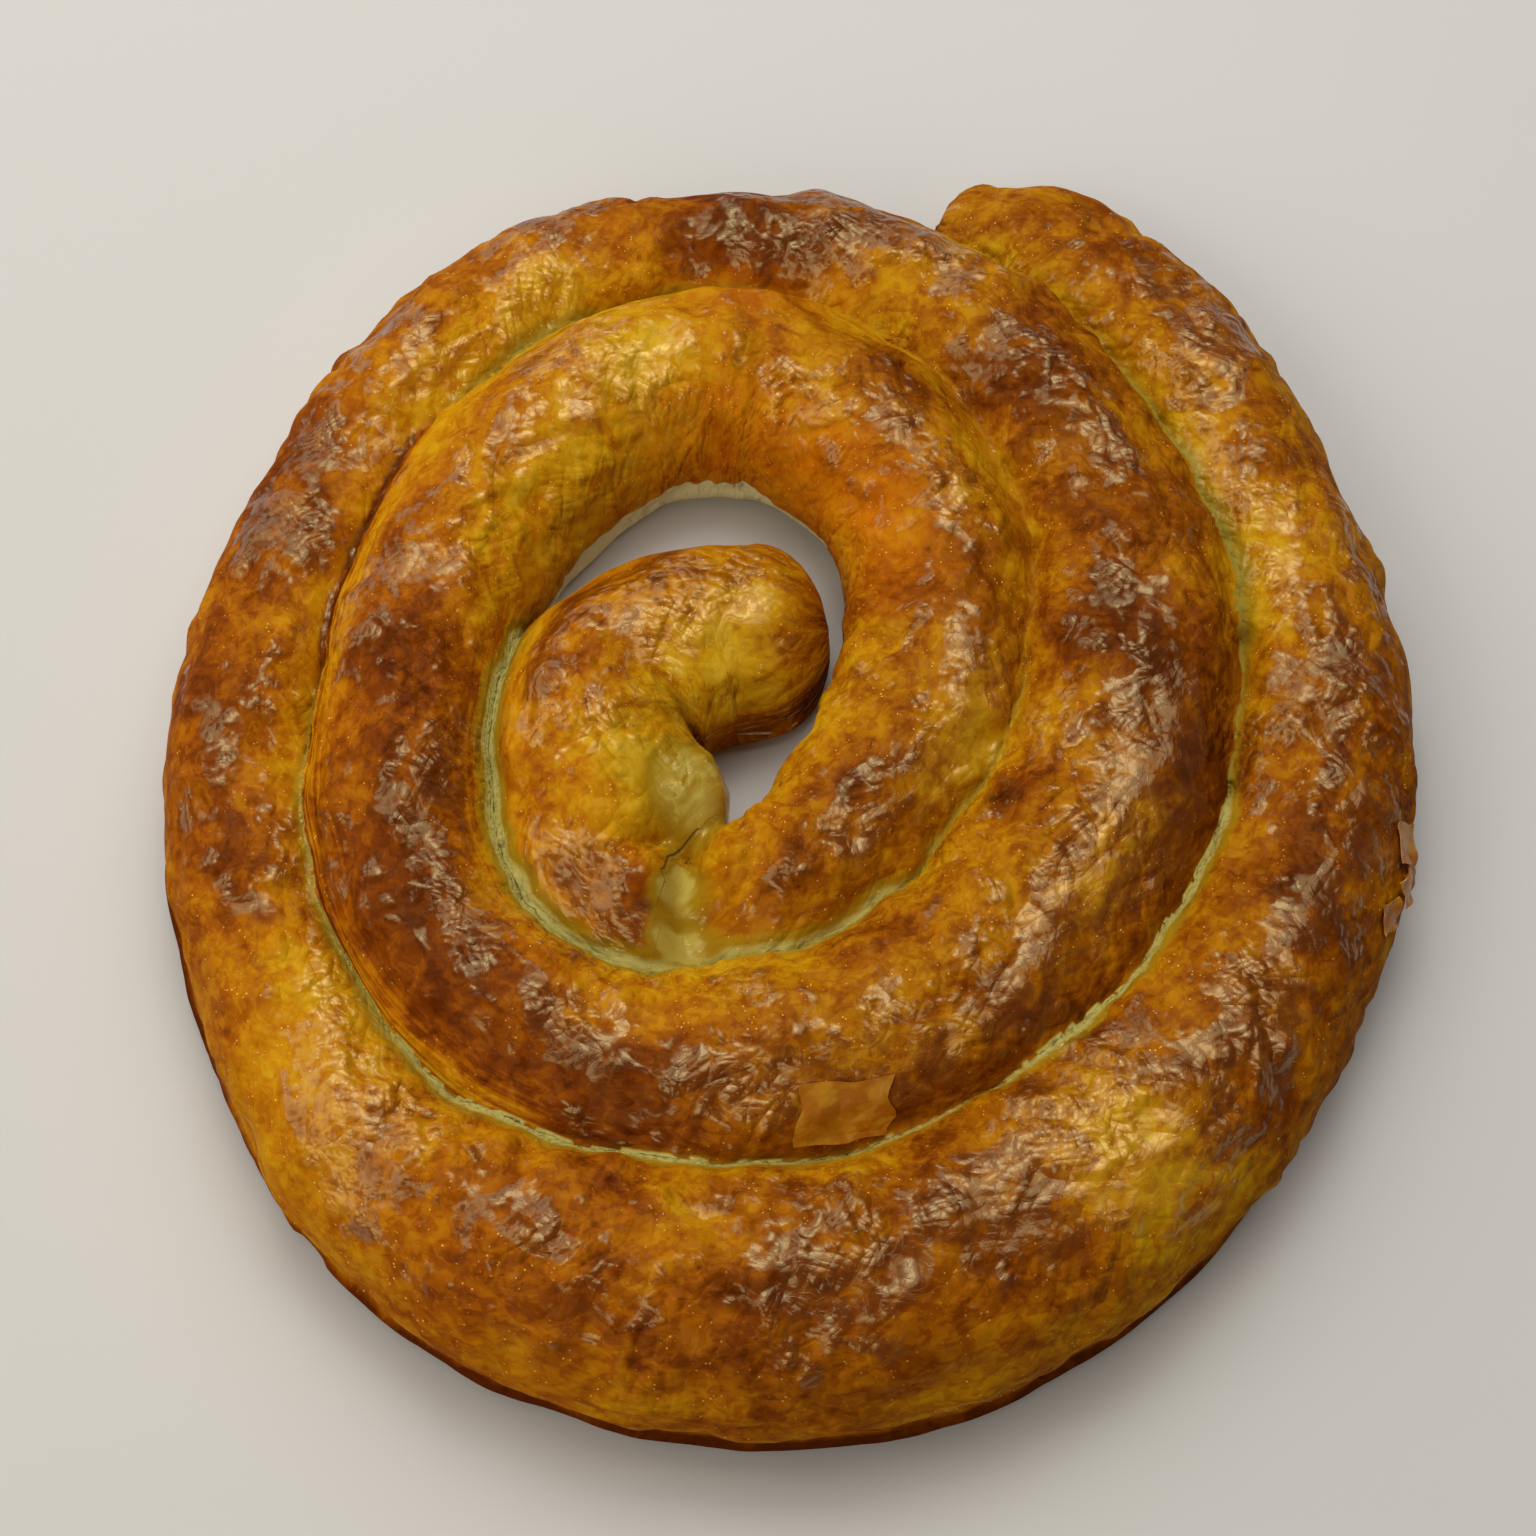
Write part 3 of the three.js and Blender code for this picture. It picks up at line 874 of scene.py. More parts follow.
    def store(self, mesh: bpy.types.Mesh, dough: DoughSkin, roll: np.ndarray, distance: np.ndarray) -> None:
        """Store how toasted and how pale each point of the skin is.

        Args:
            mesh: The coil's mesh.
            dough: The skin that was laid over the roll.
            roll: Place of each point on the roll: along it, around it and as a share of its height.
            distance: Distance of each point from the nearest seam, in millimetres.
        """
        along, arc, share = roll.T
        place = np.empty(3 * len(mesh.vertices))
        mesh.vertices.foreach_get("co", place)
        x, y = place.reshape(-1, 3).T[:2] / MM
        ground = Ground(along, arc, share, x, y, distance)
        torn = span(*self.torn_span, self.short_fade, along) * ramp(*self.torn_flank, -arc)
        torn *= 1 - ramp(*self.torn_top, share)
        layered = looked_up(self.layered, along) * ramp(*self.outer_foot, arc)
        layered *= (1 - ramp(*self.layer_top, share)) * ramp(*self.layer_foot, share)
        inner = looked_up(self.inner_pale, along) * ground.inward
        outer = looked_up(self.outer_pale, along) * (1 - ground.inward)
        fields = {
            "film": self.filmed(ground),
            "toast": self.toasted(ground, torn),
            "strip": inner + outer,
            "cracks": looked_up(self.cracked, along),
            "soft": self.softened(ground, dough),
            "stringy": span(*self.string_span, self.long_fade, along) * bell(distance, self.string_reach),
            "layered": layered + torn,
            "seam": np.minimum(distance, self.seam_limit),
            "share": share,
            "hem": self.hemmed(ground),
            "scorch": sum(speck.at(x, y) for speck in self.specks),
            "nick": self.nicked(x, y),
            "crease": self.creased(ground),
            "tawny": self.tawny * ramp(*self.tawny_rise, x),
            # Painted glow where light shines through the dough.
            "amber": sum(patch.at(x, y) for patch in self.painted_glow),
        }
        for name, values in fields.items():
            store = mesh.attributes.new(name, "FLOAT", "POINT")
            store.data.foreach_set("value", values.astype(np.float32))


@dataclass
class Coil:
    """The whole coil: lengths of roll and swellings joined into one skin, with its browning."""

    route: RollRoute = field(default_factory=RollRoute)
    dough: DoughSkin = field(default_factory=DoughSkin)
    lengths: int = 7
    swellings: tuple[Swelling, ...] = (
        Swelling((-21.0, -10.5, 13.0), (10.5, 14.0, 12.5), 0.06),
        Swelling((-20.5, -21.0, 9.5), (5.5, 6.5, 9.0), 0.1),
    )
    lead_taper: tuple[float, ...] = (0.9994, 0.9966, 0.9885, 0.955)
    tail_taper: tuple[float, ...] = (0.9995, 0.9970, 0.9900, 0.960)
    turn_apart: float = 40.0
    browning: Browning = field(default_factory=Browning)
    merge: float = 0.35 * MM
    sliver: float = 0.05
    weld: float = 1e-7
    search: float = 3 * MM
    base_clear: float = 3 * MM
    seam_shares: tuple[float, ...] = (0.0, 0.25, 0.5, 0.75, 1.0)
    seam_round: float = 2.8
    seam_passes: int = 10
    joint_round: float = 3.0
    rim_rings: int = 5
    rim_passes: int = 12
    skin: Skin | None = None

    def taper(self, points: np.ndarray, joint: int, way: int, sizes: tuple[float, ...]) -> int:
        """Draw the rings around a joint in, so that a length ends inside the next one.

        Args:
            points: Points of all rings, changed in place.
            joint: Index of the ring at the joint.
            way: 1 at the end of a length, -1 at its start.
            sizes: Size of the rings from just before the joint outwards.

        Returns:
            Index of the outermost ring.
        """
        ring = joint - way
        for size in sizes:
            middle = points[ring].mean(axis=0)
            points[ring] = middle + (points[ring] - middle) * size
            ring += way
        return ring - way

    def roll_length(self, skin: Skin, first: int, last: int) -> bpy.types.Object:
        """Make one length of the roll as a closed tube.

        Args:
            skin: The roll's surface.
            first: Index of the first ring.
            last: Index of the last ring.

        Returns:
            The tube, which carries where each point is on the roll.
        """
        points = skin.points.copy()
        if first > 0:
            first = self.taper(points, first, -1, self.lead_taper)
        if last < len(points) - 1:
            last = self.taper(points, last, 1, self.tail_taper)
        rows, sides = last - first, self.dough.sides
        bm = bmesh.new()
        layer = bm.verts.layers.float_vector.new("roll")
        bmesh.ops.create_grid(bm, x_segments=rows, y_segments=sides, size=1.0)
        for vert in bm.verts:
            ring = first + round((vert.co.x + 1) / 2 * rows)
            side = round((vert.co.y + 1) / 2 * sides) % sides
            vert[layer] = (skin.along[ring, side], skin.arc[ring, side], skin.share[ring, side])
            vert.co = points[ring, side] * MM
        bmesh.ops.remove_doubles(bm, verts=bm.verts[:], dist=self.weld)
        bmesh.ops.holes_fill(bm, edges=[edge for edge in bm.edges if edge.is_boundary], sides=0)
        bmesh.ops.recalc_face_normals(bm, faces=bm.faces[:])
        return new_object("length", bm)

    def join(self, pieces: list[bpy.types.Object]) -> bpy.types.Mesh:
        """Join closed pieces into one closed mesh and remove them.

        Args:
            pieces: The pieces, which press into each other.

        Returns:
            The joined mesh.
        """
        others = bpy.data.collections.new("lengths")
        bpy.context.scene.collection.children.link(others)
        for piece in pieces[1:]:
            others.objects.link(piece)
        union = pieces[0].modifiers.new("union", "BOOLEAN")
        union.operation = "UNION"
        union.operand_type = "COLLECTION"
        union.collection = others
        union.solver = "MANIFOLD"
        depsgraph = bpy.context.evaluated_depsgraph_get()
        mesh = bpy.data.meshes.new_from_object(pieces[0].evaluated_get(depsgraph))
        for piece in pieces:
            bpy.data.objects.remove(piece)
        bpy.data.collections.remove(others)
        return mesh

    def roll_map(self, pieces: list[bpy.types.Object]) -> tuple[kdtree.KDTree, list[Vector]]:
        """Gather where every point of the pieces is on the roll.

        Args:
            pieces: The closed pieces, before they are joined.

        Returns:
            A tree of all points and their places on the roll.
        """
        total = sum(len(piece.data.vertices) for piece in pieces)
        tree = kdtree.KDTree(total)
        rolls: list[Vector] = []
        for piece in pieces:
            places = piece.data.attributes["roll"].data
            for vert, place in zip(piece.data.vertices, places):
                tree.insert(vert.co, len(rolls))
                rolls.append(place.vector.copy())
        tree.balance()
        return tree, rolls

    def lay_roll(self, bm: bmesh.types.BMesh, tree: kdtree.KDTree,
                 rolls: list[Vector]) -> tuple[np.ndarray, np.ndarray]:
        """Give every face corner of the joined coil its place on the roll, and measure the seams.

        Args:
            bm: The joined coil, before its seams are rounded.
            tree: All points of the pieces.
            rolls: Their places on the roll.

        Returns:
            Place of every point on the roll and its distance from the nearest seam in millimetres.
        """
        corner = bm.loops.layers.float_vector.new("roll")
        found = [tree.find(vert.co) for vert in bm.verts]
        own = [rolls[index] for _, index, _ in found]
        turn = []
        for face in bm.faces:
            best = min(face.verts, key=lambda vert: found[vert.index][2])
            turn.append(own[best.index].x)
            for loop in face.loops:
                place = own[loop.vert.index]
                if abs(place.x - turn[-1]) > self.turn_apart:
                    near = tree.find_range(loop.vert.co, self.search)
                    fitting = [entry for entry in near
                               if abs(rolls[entry[1]].x - turn[-1]) < self.turn_apart]
                    nearest = min(fitting, key=lambda entry: entry[2], default=None)
                    place = rolls[nearest[1]] if nearest else own[best.index]
                loop[corner] = place
        seams = []
        for edge in bm.edges:
            if len(edge.link_faces) == 2:
                first, second = (turn[face.index] for face in edge.link_faces)
                if abs(first - second) > self.turn_apart and max(first, second) < BALL_MARK:
                    start, end = (vert.co for vert in edge.verts)
                    seams += [start.lerp(end, share) for share in self.seam_shares]
        seams = [point for point in seams if point.z > self.base_clear]
        lines = kdtree.KDTree(len(seams))
        for index, point in enumerate(seams):
            lines.insert(point, index)
        lines.balance()
        return np.array(own), np.array([lines.find(vert.co)[2] for vert in bm.verts]) / MM

    def clean(self, bm: bmesh.types.BMesh) -> None:
        """Take out the slivers that joining leaves along the seams, and close what that opens.

        Args:
            bm: The joined coil, changed in place.
        """
        bmesh.ops.collapse(bm, edges=[edge for edge in bm.edges if edge.calc_length() < self.merge])
        bmesh.ops.dissolve_degenerate(bm, edges=bm.edges[:], dist=self.sliver * self.merge)
        crowded = {face for edge in bm.edges if len(edge.link_faces) > 2 for face in edge.link_faces}
        bmesh.ops.delete(bm, geom=list(crowded), context="FACES")
        bmesh.ops.delete(bm, geom=[vert for vert in bm.verts if not vert.link_faces], context="VERTS")
        bmesh.ops.delete(bm, geom=[edge for edge in bm.edges if not edge.link_faces], context="EDGES")
        open_edges = [edge for edge in bm.edges if edge.is_boundary]
        bmesh.ops.triangulate(bm, faces=bmesh.ops.holes_fill(bm, edges=open_edges, sides=0)["faces"])
        bmesh.ops.recalc_face_normals(bm, faces=bm.faces[:])

    def relax(self, bm: bmesh.types.BMesh, verts: list[bmesh.types.BMVert], passes: int) -> None:
        """Round off the skin at some points, a number of times."""
        for _ in range(passes):
            bmesh.ops.smooth_vert(bm, verts=verts, factor=0.5,
                                  use_axis_x=True, use_axis_y=True, use_axis_z=True)

    def build(self) -> bpy.types.Object:
        """Make the coil.

        Returns:
            The finished object, without its finish.
        """
        rings = self.route.sample()
        skin = self.skin = self.dough.wrap(rings)
        cuts = np.linspace(0, len(rings.along) - 1, self.lengths + 1).astype(int)
        pieces = [self.roll_length(skin, first, last) for first, last in zip(cuts, cuts[1:])]
        pieces += [swelling.build() for swelling in self.swellings]
        tree, rolls = self.roll_map(pieces)
        mesh = self.join(pieces)
        bm = bmesh.new()
        bm.from_mesh(mesh)
        bpy.data.meshes.remove(mesh)
        bm.verts.layers.float_vector.remove(bm.verts.layers.float_vector["roll"])
        self.clean(bm)
        bm.verts.index_update()
        bm.faces.index_update()
        own, distance = self.lay_roll(bm, tree, rolls)
        joints = rings.along[cuts[1:-1]]
        off_joint = np.min(np.abs(own[:, :1] - joints[None, :]), axis=1)
        ball = own[:, 0] > BALL_MARK
        rim = {vert for edge in bm.edges for vert in edge.verts
               if ball[edge.verts[0].index] != ball[edge.verts[1].index]}
        for _ in range(self.rim_rings):
            rim |= {edge.other_vert(vert) for vert in rim for edge in vert.link_edges}
        near = []
        for vert in bm.verts:
            seam = distance[vert.index] < self.seam_round or off_joint[vert.index] < self.joint_round
            if vert.co.z > self.base_clear and (seam or vert in rim):
                near.append(vert)
        self.relax(bm, near, self.seam_passes)
        self.relax(bm, list(rim), self.rim_passes)
        for face in bm.faces:
            face.smooth = True
            face.material_index = 0
        coil = new_object("borek_crust", bm)
        self.browning.store(coil.data, self.dough, own, distance)
        return coil


@dataclass(frozen=True)
class Flake:
    """A loose scrap of the top layer: where it lies on the roll and how far it stands off."""

    along: float
    arc: float
    length: float
    width: float
    turn: float
    lift: float
    curl: float


@dataclass(frozen=True)
class Flakes:
    """Scraps of dough skin that came loose and lie on the coil."""

    scraps: tuple[Flake, ...] = (
        Flake(885, 16.8, 14.5, 11, -0.22, 0.45, 0.4),
        Flake(176, 20, 7, 6, 0.4, 0.5, 1.2),
        Flake(182, 23, 6, 5, -0.5, 0.6, 1.4),
        Flake(189, 21, 5, 5, 0.9, 0.5, 1.0),
    )
    cells: int = 9
    ragged: float = 0.2
    fray_pitch: Pair = (0.5, 1.6)
    frill_layer: float = 7.0
    curl_power: int = 4
    thickness: float = 0.22

    def scrap(self, bm: bmesh.types.BMesh, skin: Skin, flake: Flake) -> None:
        """Lay one ragged, slightly curled scrap on the roll.

        Args:
            bm: The mesh that takes the scrap.
            skin: The roll's surface.
            flake: The scrap.
        """
        grid = bmesh.ops.create_grid(bm, x_segments=self.cells, y_segments=self.cells, size=1.0)["verts"]
        c, t = math.cos(flake.turn), math.sin(flake.turn)
        slow, fast = self.fray_pitch
        for vert in grid:
            u, v = vert.co.x, vert.co.y
            fray = noise.noise(Vector((slow * u, fast * v, flake.along)))
            frill = noise.noise(Vector((fast * u, slow * v, flake.along + self.frill_layer)))
            ahead = u * flake.length / 2 * (1 + self.ragged * fray)
            aside = v * flake.width / 2 * (1 + self.ragged * frill)
            edge = max(abs(u), abs(v)) ** self.curl_power
            lift = flake.lift + flake.curl * edge * (0.5 + noise.noise(Vector((u, v, flake.arc))))
            along = flake.along + c * ahead - t * aside
            vert.co = MM * skin.lifted(along, flake.arc + t * ahead + c * aside, lift)

    def build(self, skin: Skin) -> bpy.types.Object:
        """Make all scraps as one thin piece.

        Args:
            skin: The roll's surface.

        Returns:
            The new object.
        """
        bm = bmesh.new()
        for flake in self.scraps:
            self.scrap(bm, skin, flake)
        bmesh.ops.recalc_face_normals(bm, faces=bm.faces[:])
        bmesh.ops.solidify(bm, geom=bm.faces[:], thickness=self.thickness * MM)
        bmesh.ops.recalc_face_normals(bm, faces=bm.faces[:])
        return new_object("loose_flakes", bm)


Number = Union[float, "Value"]


class Value:
    """A number that varies over a surface, written in Python arithmetic and worked out by Math nodes."""

    def __init__(self, graph: "FinishGraph", socket: bpy.types.NodeSocket) -> None:
        """Wrap an output socket of a graph's node."""
        self.graph = graph
        self.socket = socket

    def _math(self, operation: str, first: Number, second: Number) -> "Value":
        """Add one Math node."""
        return self.graph.value("ShaderNodeMath", {"operation": operation}, {0: first, 1: second})

    def __add__(self, other: Number) -> "Value":
        """Sum."""
        return self._math("ADD", self, other)

    def __radd__(self, other: Number) -> "Value":
        """Sum, reflected."""
        return self._math("ADD", other, self)

    def __sub__(self, other: Number) -> "Value":
        """Difference."""
        return self._math("SUBTRACT", self, other)

    def __rsub__(self, other: Number) -> "Value":
        """Difference, reflected."""
        return self._math("SUBTRACT", other, self)

    def __mul__(self, other: Number) -> "Value":
        """Product."""
        return self._math("MULTIPLY", self, other)

    def __rmul__(self, other: Number) -> "Value":
        """Product, reflected."""
        return self._math("MULTIPLY", other, self)

    def __abs__(self) -> "Value":
        """Size without sign."""
        return self._math("ABSOLUTE", self, 0.0)

    def step(self, low: float, high: float) -> "Value":
        """Rise smoothly from 0 to 1 between two values."""
        settings = {"interpolation_type": "SMOOTHSTEP"}
        return self.graph.value("ShaderNodeMapRange", settings, {0: self, 1: low, 2: high, 3: 0.0, 4: 1.0})

    def share(self, least: float, gain: float) -> "Value":
        """A least value, and a gain on top of it that grows with this one."""
        return least + gain * self


Input = Union[float, Colour, Point, Value, bpy.types.NodeSocket]
Inputs = dict[Union[int, str], Input]


class Pattern(Enum):
    """Cloudy patterns of the crust: millimetres along and around the roll, detail and twist."""

    ISLANDS = (12.0, 9.0, 4.0, 0.8)
    BLOTCHES = (4.5, 5.5, 4.0, 0.4)
    CRUMPLES = (19.0, 15.0, 1.0, 0.0)
    STRINGS = (40.0, 1.1, 1.0, 0.0)
    LAYERS = (48.0, 3.2, 1.0, 0.0)
    SCRAPS = (3.0, 2.5, 4.0, 1.0)
    SPECKLES = (0.9, 0.8, 3.0, 0.4)
    PLATES = (12.0, 9.0, 2.5, 1.4)
    RAGS = (2.5, 2.5, 3.0, 0.0)
    SHEEN_STREAKS = (2.2, 8.0, 2.0, 0.0)
    CRUMBLY = (1.1, 1.1, 3.0, 0.0)
    DASHES = (2.2, 50.0, 2.0, 0.0)
    GRAIN = (0.5, 0.5, 1.0, 0.0)


class FinishGraph:
    """The node graph of one finish."""

    cloud_roughness: float = 0.55

    def __init__(self, name: str) -> None:
        """Start an empty material.

        Args:
            name: The material's name.
        """
        self.material = bpy.data.materials.new(name)
        self.material.use_nodes = True
        self.tree = self.material.node_tree
        self.tree.nodes.clear()

    def node(self, kind: str, settings: dict[str, Any], inputs: Inputs) -> bpy.types.Node:
        """Add a node.

        Args:
            kind: The node's type.
            settings: Its properties; stops is a colour ramp's list of places and colours.
            inputs: Values or links of its sockets, by number or name.

        Returns:
            The new node.
        """
        node = self.tree.nodes.new(kind)
        for key, setting in settings.items():
            if key == "stops":
                elements = node.color_ramp.elements
                while len(elements) < len(setting):
                    elements.new(1.0)
                for element, (place, colour) in zip(elements, setting):
                    element.position = place
                    element.color = colour
            else:
                setattr(node, key, setting)
        for key, source in inputs.items():
            socket = source.socket if isinstance(source, Value) else source
            if isinstance(socket, bpy.types.NodeSocket):
                self.tree.links.new(socket, node.inputs[key])
            else:
                node.inputs[key].default_value = socket
        return node

    def value(self, kind: str, settings: dict[str, Any], inputs: Inputs,
              output: Union[int, str] = 0) -> Value:
        """Add a node and take one of its outputs as a number."""
        return Value(self, self.node(kind, settings, inputs).outputs[output])

    def attribute(self, name: str) -> Value:
        """A number stored on the mesh."""
        return self.value("ShaderNodeAttribute", {"attribute_name": name}, {}, "Fac")

    def multiplied(self, vector: bpy.types.NodeSocket, factors: Point) -> bpy.types.NodeSocket:
        """Coordinates multiplied axis by axis."""
        settings = {"operation": "MULTIPLY"}
        return self.node("ShaderNodeVectorMath", settings, {0: vector, 1: factors}).outputs[0]

    def scaled(self, vector: bpy.types.NodeSocket, size: Point) -> bpy.types.NodeSocket:
        """Coordinates counted in pattern sizes along each axis."""
        return self.multiplied(vector, (1 / size[0], 1 / size[1], 1 / size[2]))

    def clouds(self, vector: bpy.types.NodeSocket, size: Point, detail: float, twist: float = 0.0) -> Value:
        """Cloudy noise from 0 to 1 with patches of a given size."""
        return self.value("ShaderNodeTexNoise", {}, {
            "Vector": self.scaled(vector, size), "Scale": 1.0, "Detail": detail,
            "Roughness": self.cloud_roughness, "Distortion": twist})

    def pattern(self, vector: bpy.types.NodeSocket, pattern: Pattern) -> Value:
        """One of the crust's patterns."""
        along, around, detail, twist = pattern.value
        return self.clouds(vector, (along, around, 1.0), detail, twist)

    def turned(self, vector: bpy.types.NodeSocket, angle: float, centre: Point) -> bpy.types.NodeSocket:
        """Coordinates turned around a centre."""
        inputs = {"Vector": vector, "Center": centre, "Angle": angle}
        return self.node("ShaderNodeVectorRotate", {"rotation_type": "Z_AXIS"}, inputs).outputs[0]

    def mix(self, factor: Number, first: Input, second: Input) -> bpy.types.NodeSocket:
        """Blend two colours."""
        settings = {"data_type": "RGBA"}
        return self.node("ShaderNodeMix", settings, {0: factor, 6: first, 7: second}).outputs[2]

    def shader(self, inputs: Inputs) -> bpy.types.NodeSocket:
        """Add a Principled shader."""
        return self.node("ShaderNodeBsdfPrincipled", {}, inputs).outputs[0]

    def surfaced(self, shader: bpy.types.NodeSocket) -> bpy.types.Material:
        """Make a shader the material's surface and hand the material over."""
        self.node("ShaderNodeOutputMaterial", {}, {"Surface": shader})
        return self.material


class CrustGraph(FinishGraph):
    """The crust's node graph, with the measures stored on its mesh and the patterns along its roll.

    Sizes, reaches and heights of relief are in millimetres. An edge is the range over which something fades,
    a share is a least value and a gain on top of it, and a level is a pattern's usual value.
    """

    fold_size: Pair = (5.0, 12.0)
    fold_turns: Point = (0.5, -0.6, 1.5)
    wrinkle_size: Pair = (2.6, 7.0)
    wrinkle_turns: Point = (0.1, -1.0, 0.9)
    crease_shift: Pair = (-31.0, 17.0)
    crease_reach: Pair = (0.3, 2.6)
    crack_reach: Pair = (2.0, 3.5)
    crumple_edge: Pair = (0.38, 0.62)
    crumple_share: Pair = (0.35, 0.65)
    scrap_edge: Pair = (0.45, 0.55)
    slit_edge: Pair = (0.05, 0.35)
    rag: float = 1.6
    strip_reach: float = 2.0
    halo_edge: Pair = (0.0, 3.5)
    halo_loss: float = 0.8
    core_edge: Pair = (-1.0, 0.7)
    core_strip: Pair = (0.15, 0.45)
    island_gain: float = 0.2
    island_edge: Pair = (0.36, 0.64)
    blotch_gain: float = 0.13
    blotch_edge: Pair = (0.35, 0.65)
    scrap_gain: float = 0.1
    speckle_gain: float = 0.09
    painted_valley_shade: float = 0.14
    fold_edge: Pair = (0.05, 0.5)
    string_gain: float = 1.4
    layer_gain: float = 0.16
    layer_level: float = 0.3
    crease_shade_share: Pair = (0.2, 0.6)
    plate_gain: float = 1.5
    plate_wrinkle: float = 0.2
    plate_fold: float = 0.3
    crease_level: float = 0.75
    plate_edge: Pair = (0.45, 0.6)
    sheen_turn: float = 0.8
    sheen_share: Pair = (0.4, 1.2)
    glint_pitch: float = 1.2
    glint_edge: Pair = (0.08, 0.18)
    glint_blotch: Pair = (0.45, 0.6)
    glint_brown: Pair = (0.6, 0.9)
    fold_height: float = 0.75
    wrinkle_height: float = 0.46
    soft_loss: float = 0.7
    string_height: float = 0.5
    layer_height: float = 0.7
    scrap_height: float = 0.025
    grain_height: float = 0.015
    crumbly_height: float = 0.5
    slit_depth: float = 0.3
    oil_edge: Pair = (0.5, 0.85)
    oil_share: Pair = (0.1, 0.9)
    oil_core_loss: float = 0.8
    oil_wrinkle: Pair = (0.15, 0.6)
    oil_wrinkle_share: Pair = (0.3, 0.62)
    oil_blotch_share: Pair = (0.4, 1.2)
    oil_least: float = 0.05

    def __init__(self, name: str) -> None:
        """Start the material, read the measures and lay the patterns that its layers share.

        Args:
            name: The material's name.
        """
        super().__init__(name)
        roll = self.node("ShaderNodeAttribute", {"attribute_name": "roll"}, {}).outputs["Vector"]
        self.place = self.multiplied(roll, (1, 1, 0))
        self.seam, self.strip, self.crease = map(self.attribute, ("seam", "strip", "crease"))
        self.soft, self.stringy, self.layered = map(self.attribute, ("soft", "stringy", "layered"))
        self.blotch = self.pattern(self.place, Pattern.BLOTCHES)
        self.strings = self.pattern(self.place, Pattern.STRINGS)
        self.crumbly = self.pattern(self.place, Pattern.CRUMBLY)
        self.scraps = self.pattern(self.place, Pattern.SCRAPS).step(*self.scrap_edge)
        self.layers = 2 * abs(self.pattern(self.place, Pattern.LAYERS) - 0.5)
        crumples = self.pattern(self.place, Pattern.CRUMPLES)
        self.crumpled = crumples.step(*self.crumple_edge).share(*self.crumple_share)
        self.folds = self.creases(self.fold_size, self.fold_turns)
        self.wrinkles = self.creases(self.wrinkle_size, self.wrinkle_turns)
        self.creased = self.crease * (1 - self.seam.step(*self.crease_reach))
        self.cracks = self.attribute("cracks") * (1 - self.seam.step(*self.crack_reach))
        self.slit = 1 - abs(self.attribute("nick")).step(*self.slit_edge)
        ragged = self.seam + self.rag * (self.pattern(self.place, Pattern.RAGS) - 0.5)
        ragged = ragged - self.strip_reach * self.strip
        self.halo = (1 - ragged.step(*self.halo_edge)) * self.strip * (1 - self.halo_loss * self.creased)
        core = (1 - ragged.step(*self.core_edge)) * self.strip.step(*self.core_strip)
        self.core = core * (1 - self.crease)
        self.level = self.browning()
        self.flaked = self.filming()

    def creases(self, size: Pair, turns: Point) -> Value:
        """Sharp valleys that cross each other, with rounded skin between them.

        Args:
            size: The skin's length along and around the roll between two valleys.
            turns: The angle of each set of valleys.

        Returns:
            The height of the skin, 0 in the valleys.
        """
        total: Number = 0.0
        step, aside = self.crease_shift
        for number, turn in enumerate(turns):
            turned = self.turned(self.place, turn, (step * number, aside, 0.0))
            total = total + 2 * abs(self.clouds(turned, (*size, 1.0), 0.0) - 0.5)
        return total

    def browning(self) -> Value:
        """Work out how brown the crust is, with painted shade in the fold valleys and in the seam creases.

        Returns:
            The browning, from 0 to 1.
        """
        islands = self.pattern(self.place, Pattern.ISLANDS)
        speckle = self.pattern(self.place, Pattern.SPECKLES)
        level = self.attribute("toast") + self.island_gain * (islands.step(*self.island_edge) - 0.5)
        level = level + self.blotch_gain * (self.blotch.step(*self.blotch_edge) - 0.5)
        level = level + self.scrap_gain * (self.scraps - 0.5) + self.speckle_gain * (speckle - 0.5)
        # Painted shade: darker in the valleys of the folds, where no highlight falls.
        level = level + self.painted_valley_shade * (1 - self.folds.step(*self.fold_edge)) * self.crumpled
        level = level + self.string_gain * (self.strings - 0.5) * self.stringy
        level = level + self.layer_gain * (self.layer_level - self.layers) * self.layered
        # Painted shade: darker brown in the creases beside some seams.
        return level + self.strings.share(*self.crease_shade_share) * self.creased

    def filming(self) -> Value:
        """Work out where plates of shiny film cover the crust.

        Returns:
            The film's cover, from 0 to 1.
        """
        plates = self.pattern(self.place, Pattern.PLATES)
        flaked = self.attribute("film") + self.plate_gain * (plates - 0.5)
        flaked = flaked + self.plate_wrinkle * (self.wrinkles - self.crease_level)
        flaked = flaked + self.plate_fold * (self.folds - self.crease_level)
        return flaked.step(*self.plate_edge)

    def softness(self) -> Value:
        """How soft and pale the dough has stayed, in slanting pale streaks: partly pale dough, partly
        painted sheen.
        """
        slant = self.turned(self.place, self.sheen_turn, (0.0, 0.0, 0.0))
        return self.soft * self.pattern(slant, Pattern.SHEEN_STREAKS).share(*self.sheen_share)

    def painted_glints(self) -> Value:
        """Scatter painted glints, small bright golden dots that stand in for sparkles of light, over the
        paler parts of some blotches.

        Returns:
            The glints' cover, from 0 to 1.
        """
        beads = self.scaled(self.place, (self.glint_pitch, self.glint_pitch, 1.0))
        beads = self.value("ShaderNodeTexVoronoi", {}, {"Vector": beads, "Scale": 1.0}, "Distance")
        dots = (1 - beads.step(*self.glint_edge)) * self.blotch.step(*self.glint_blotch)
        return dots * (1 - self.level.step(*self.glint_brown))

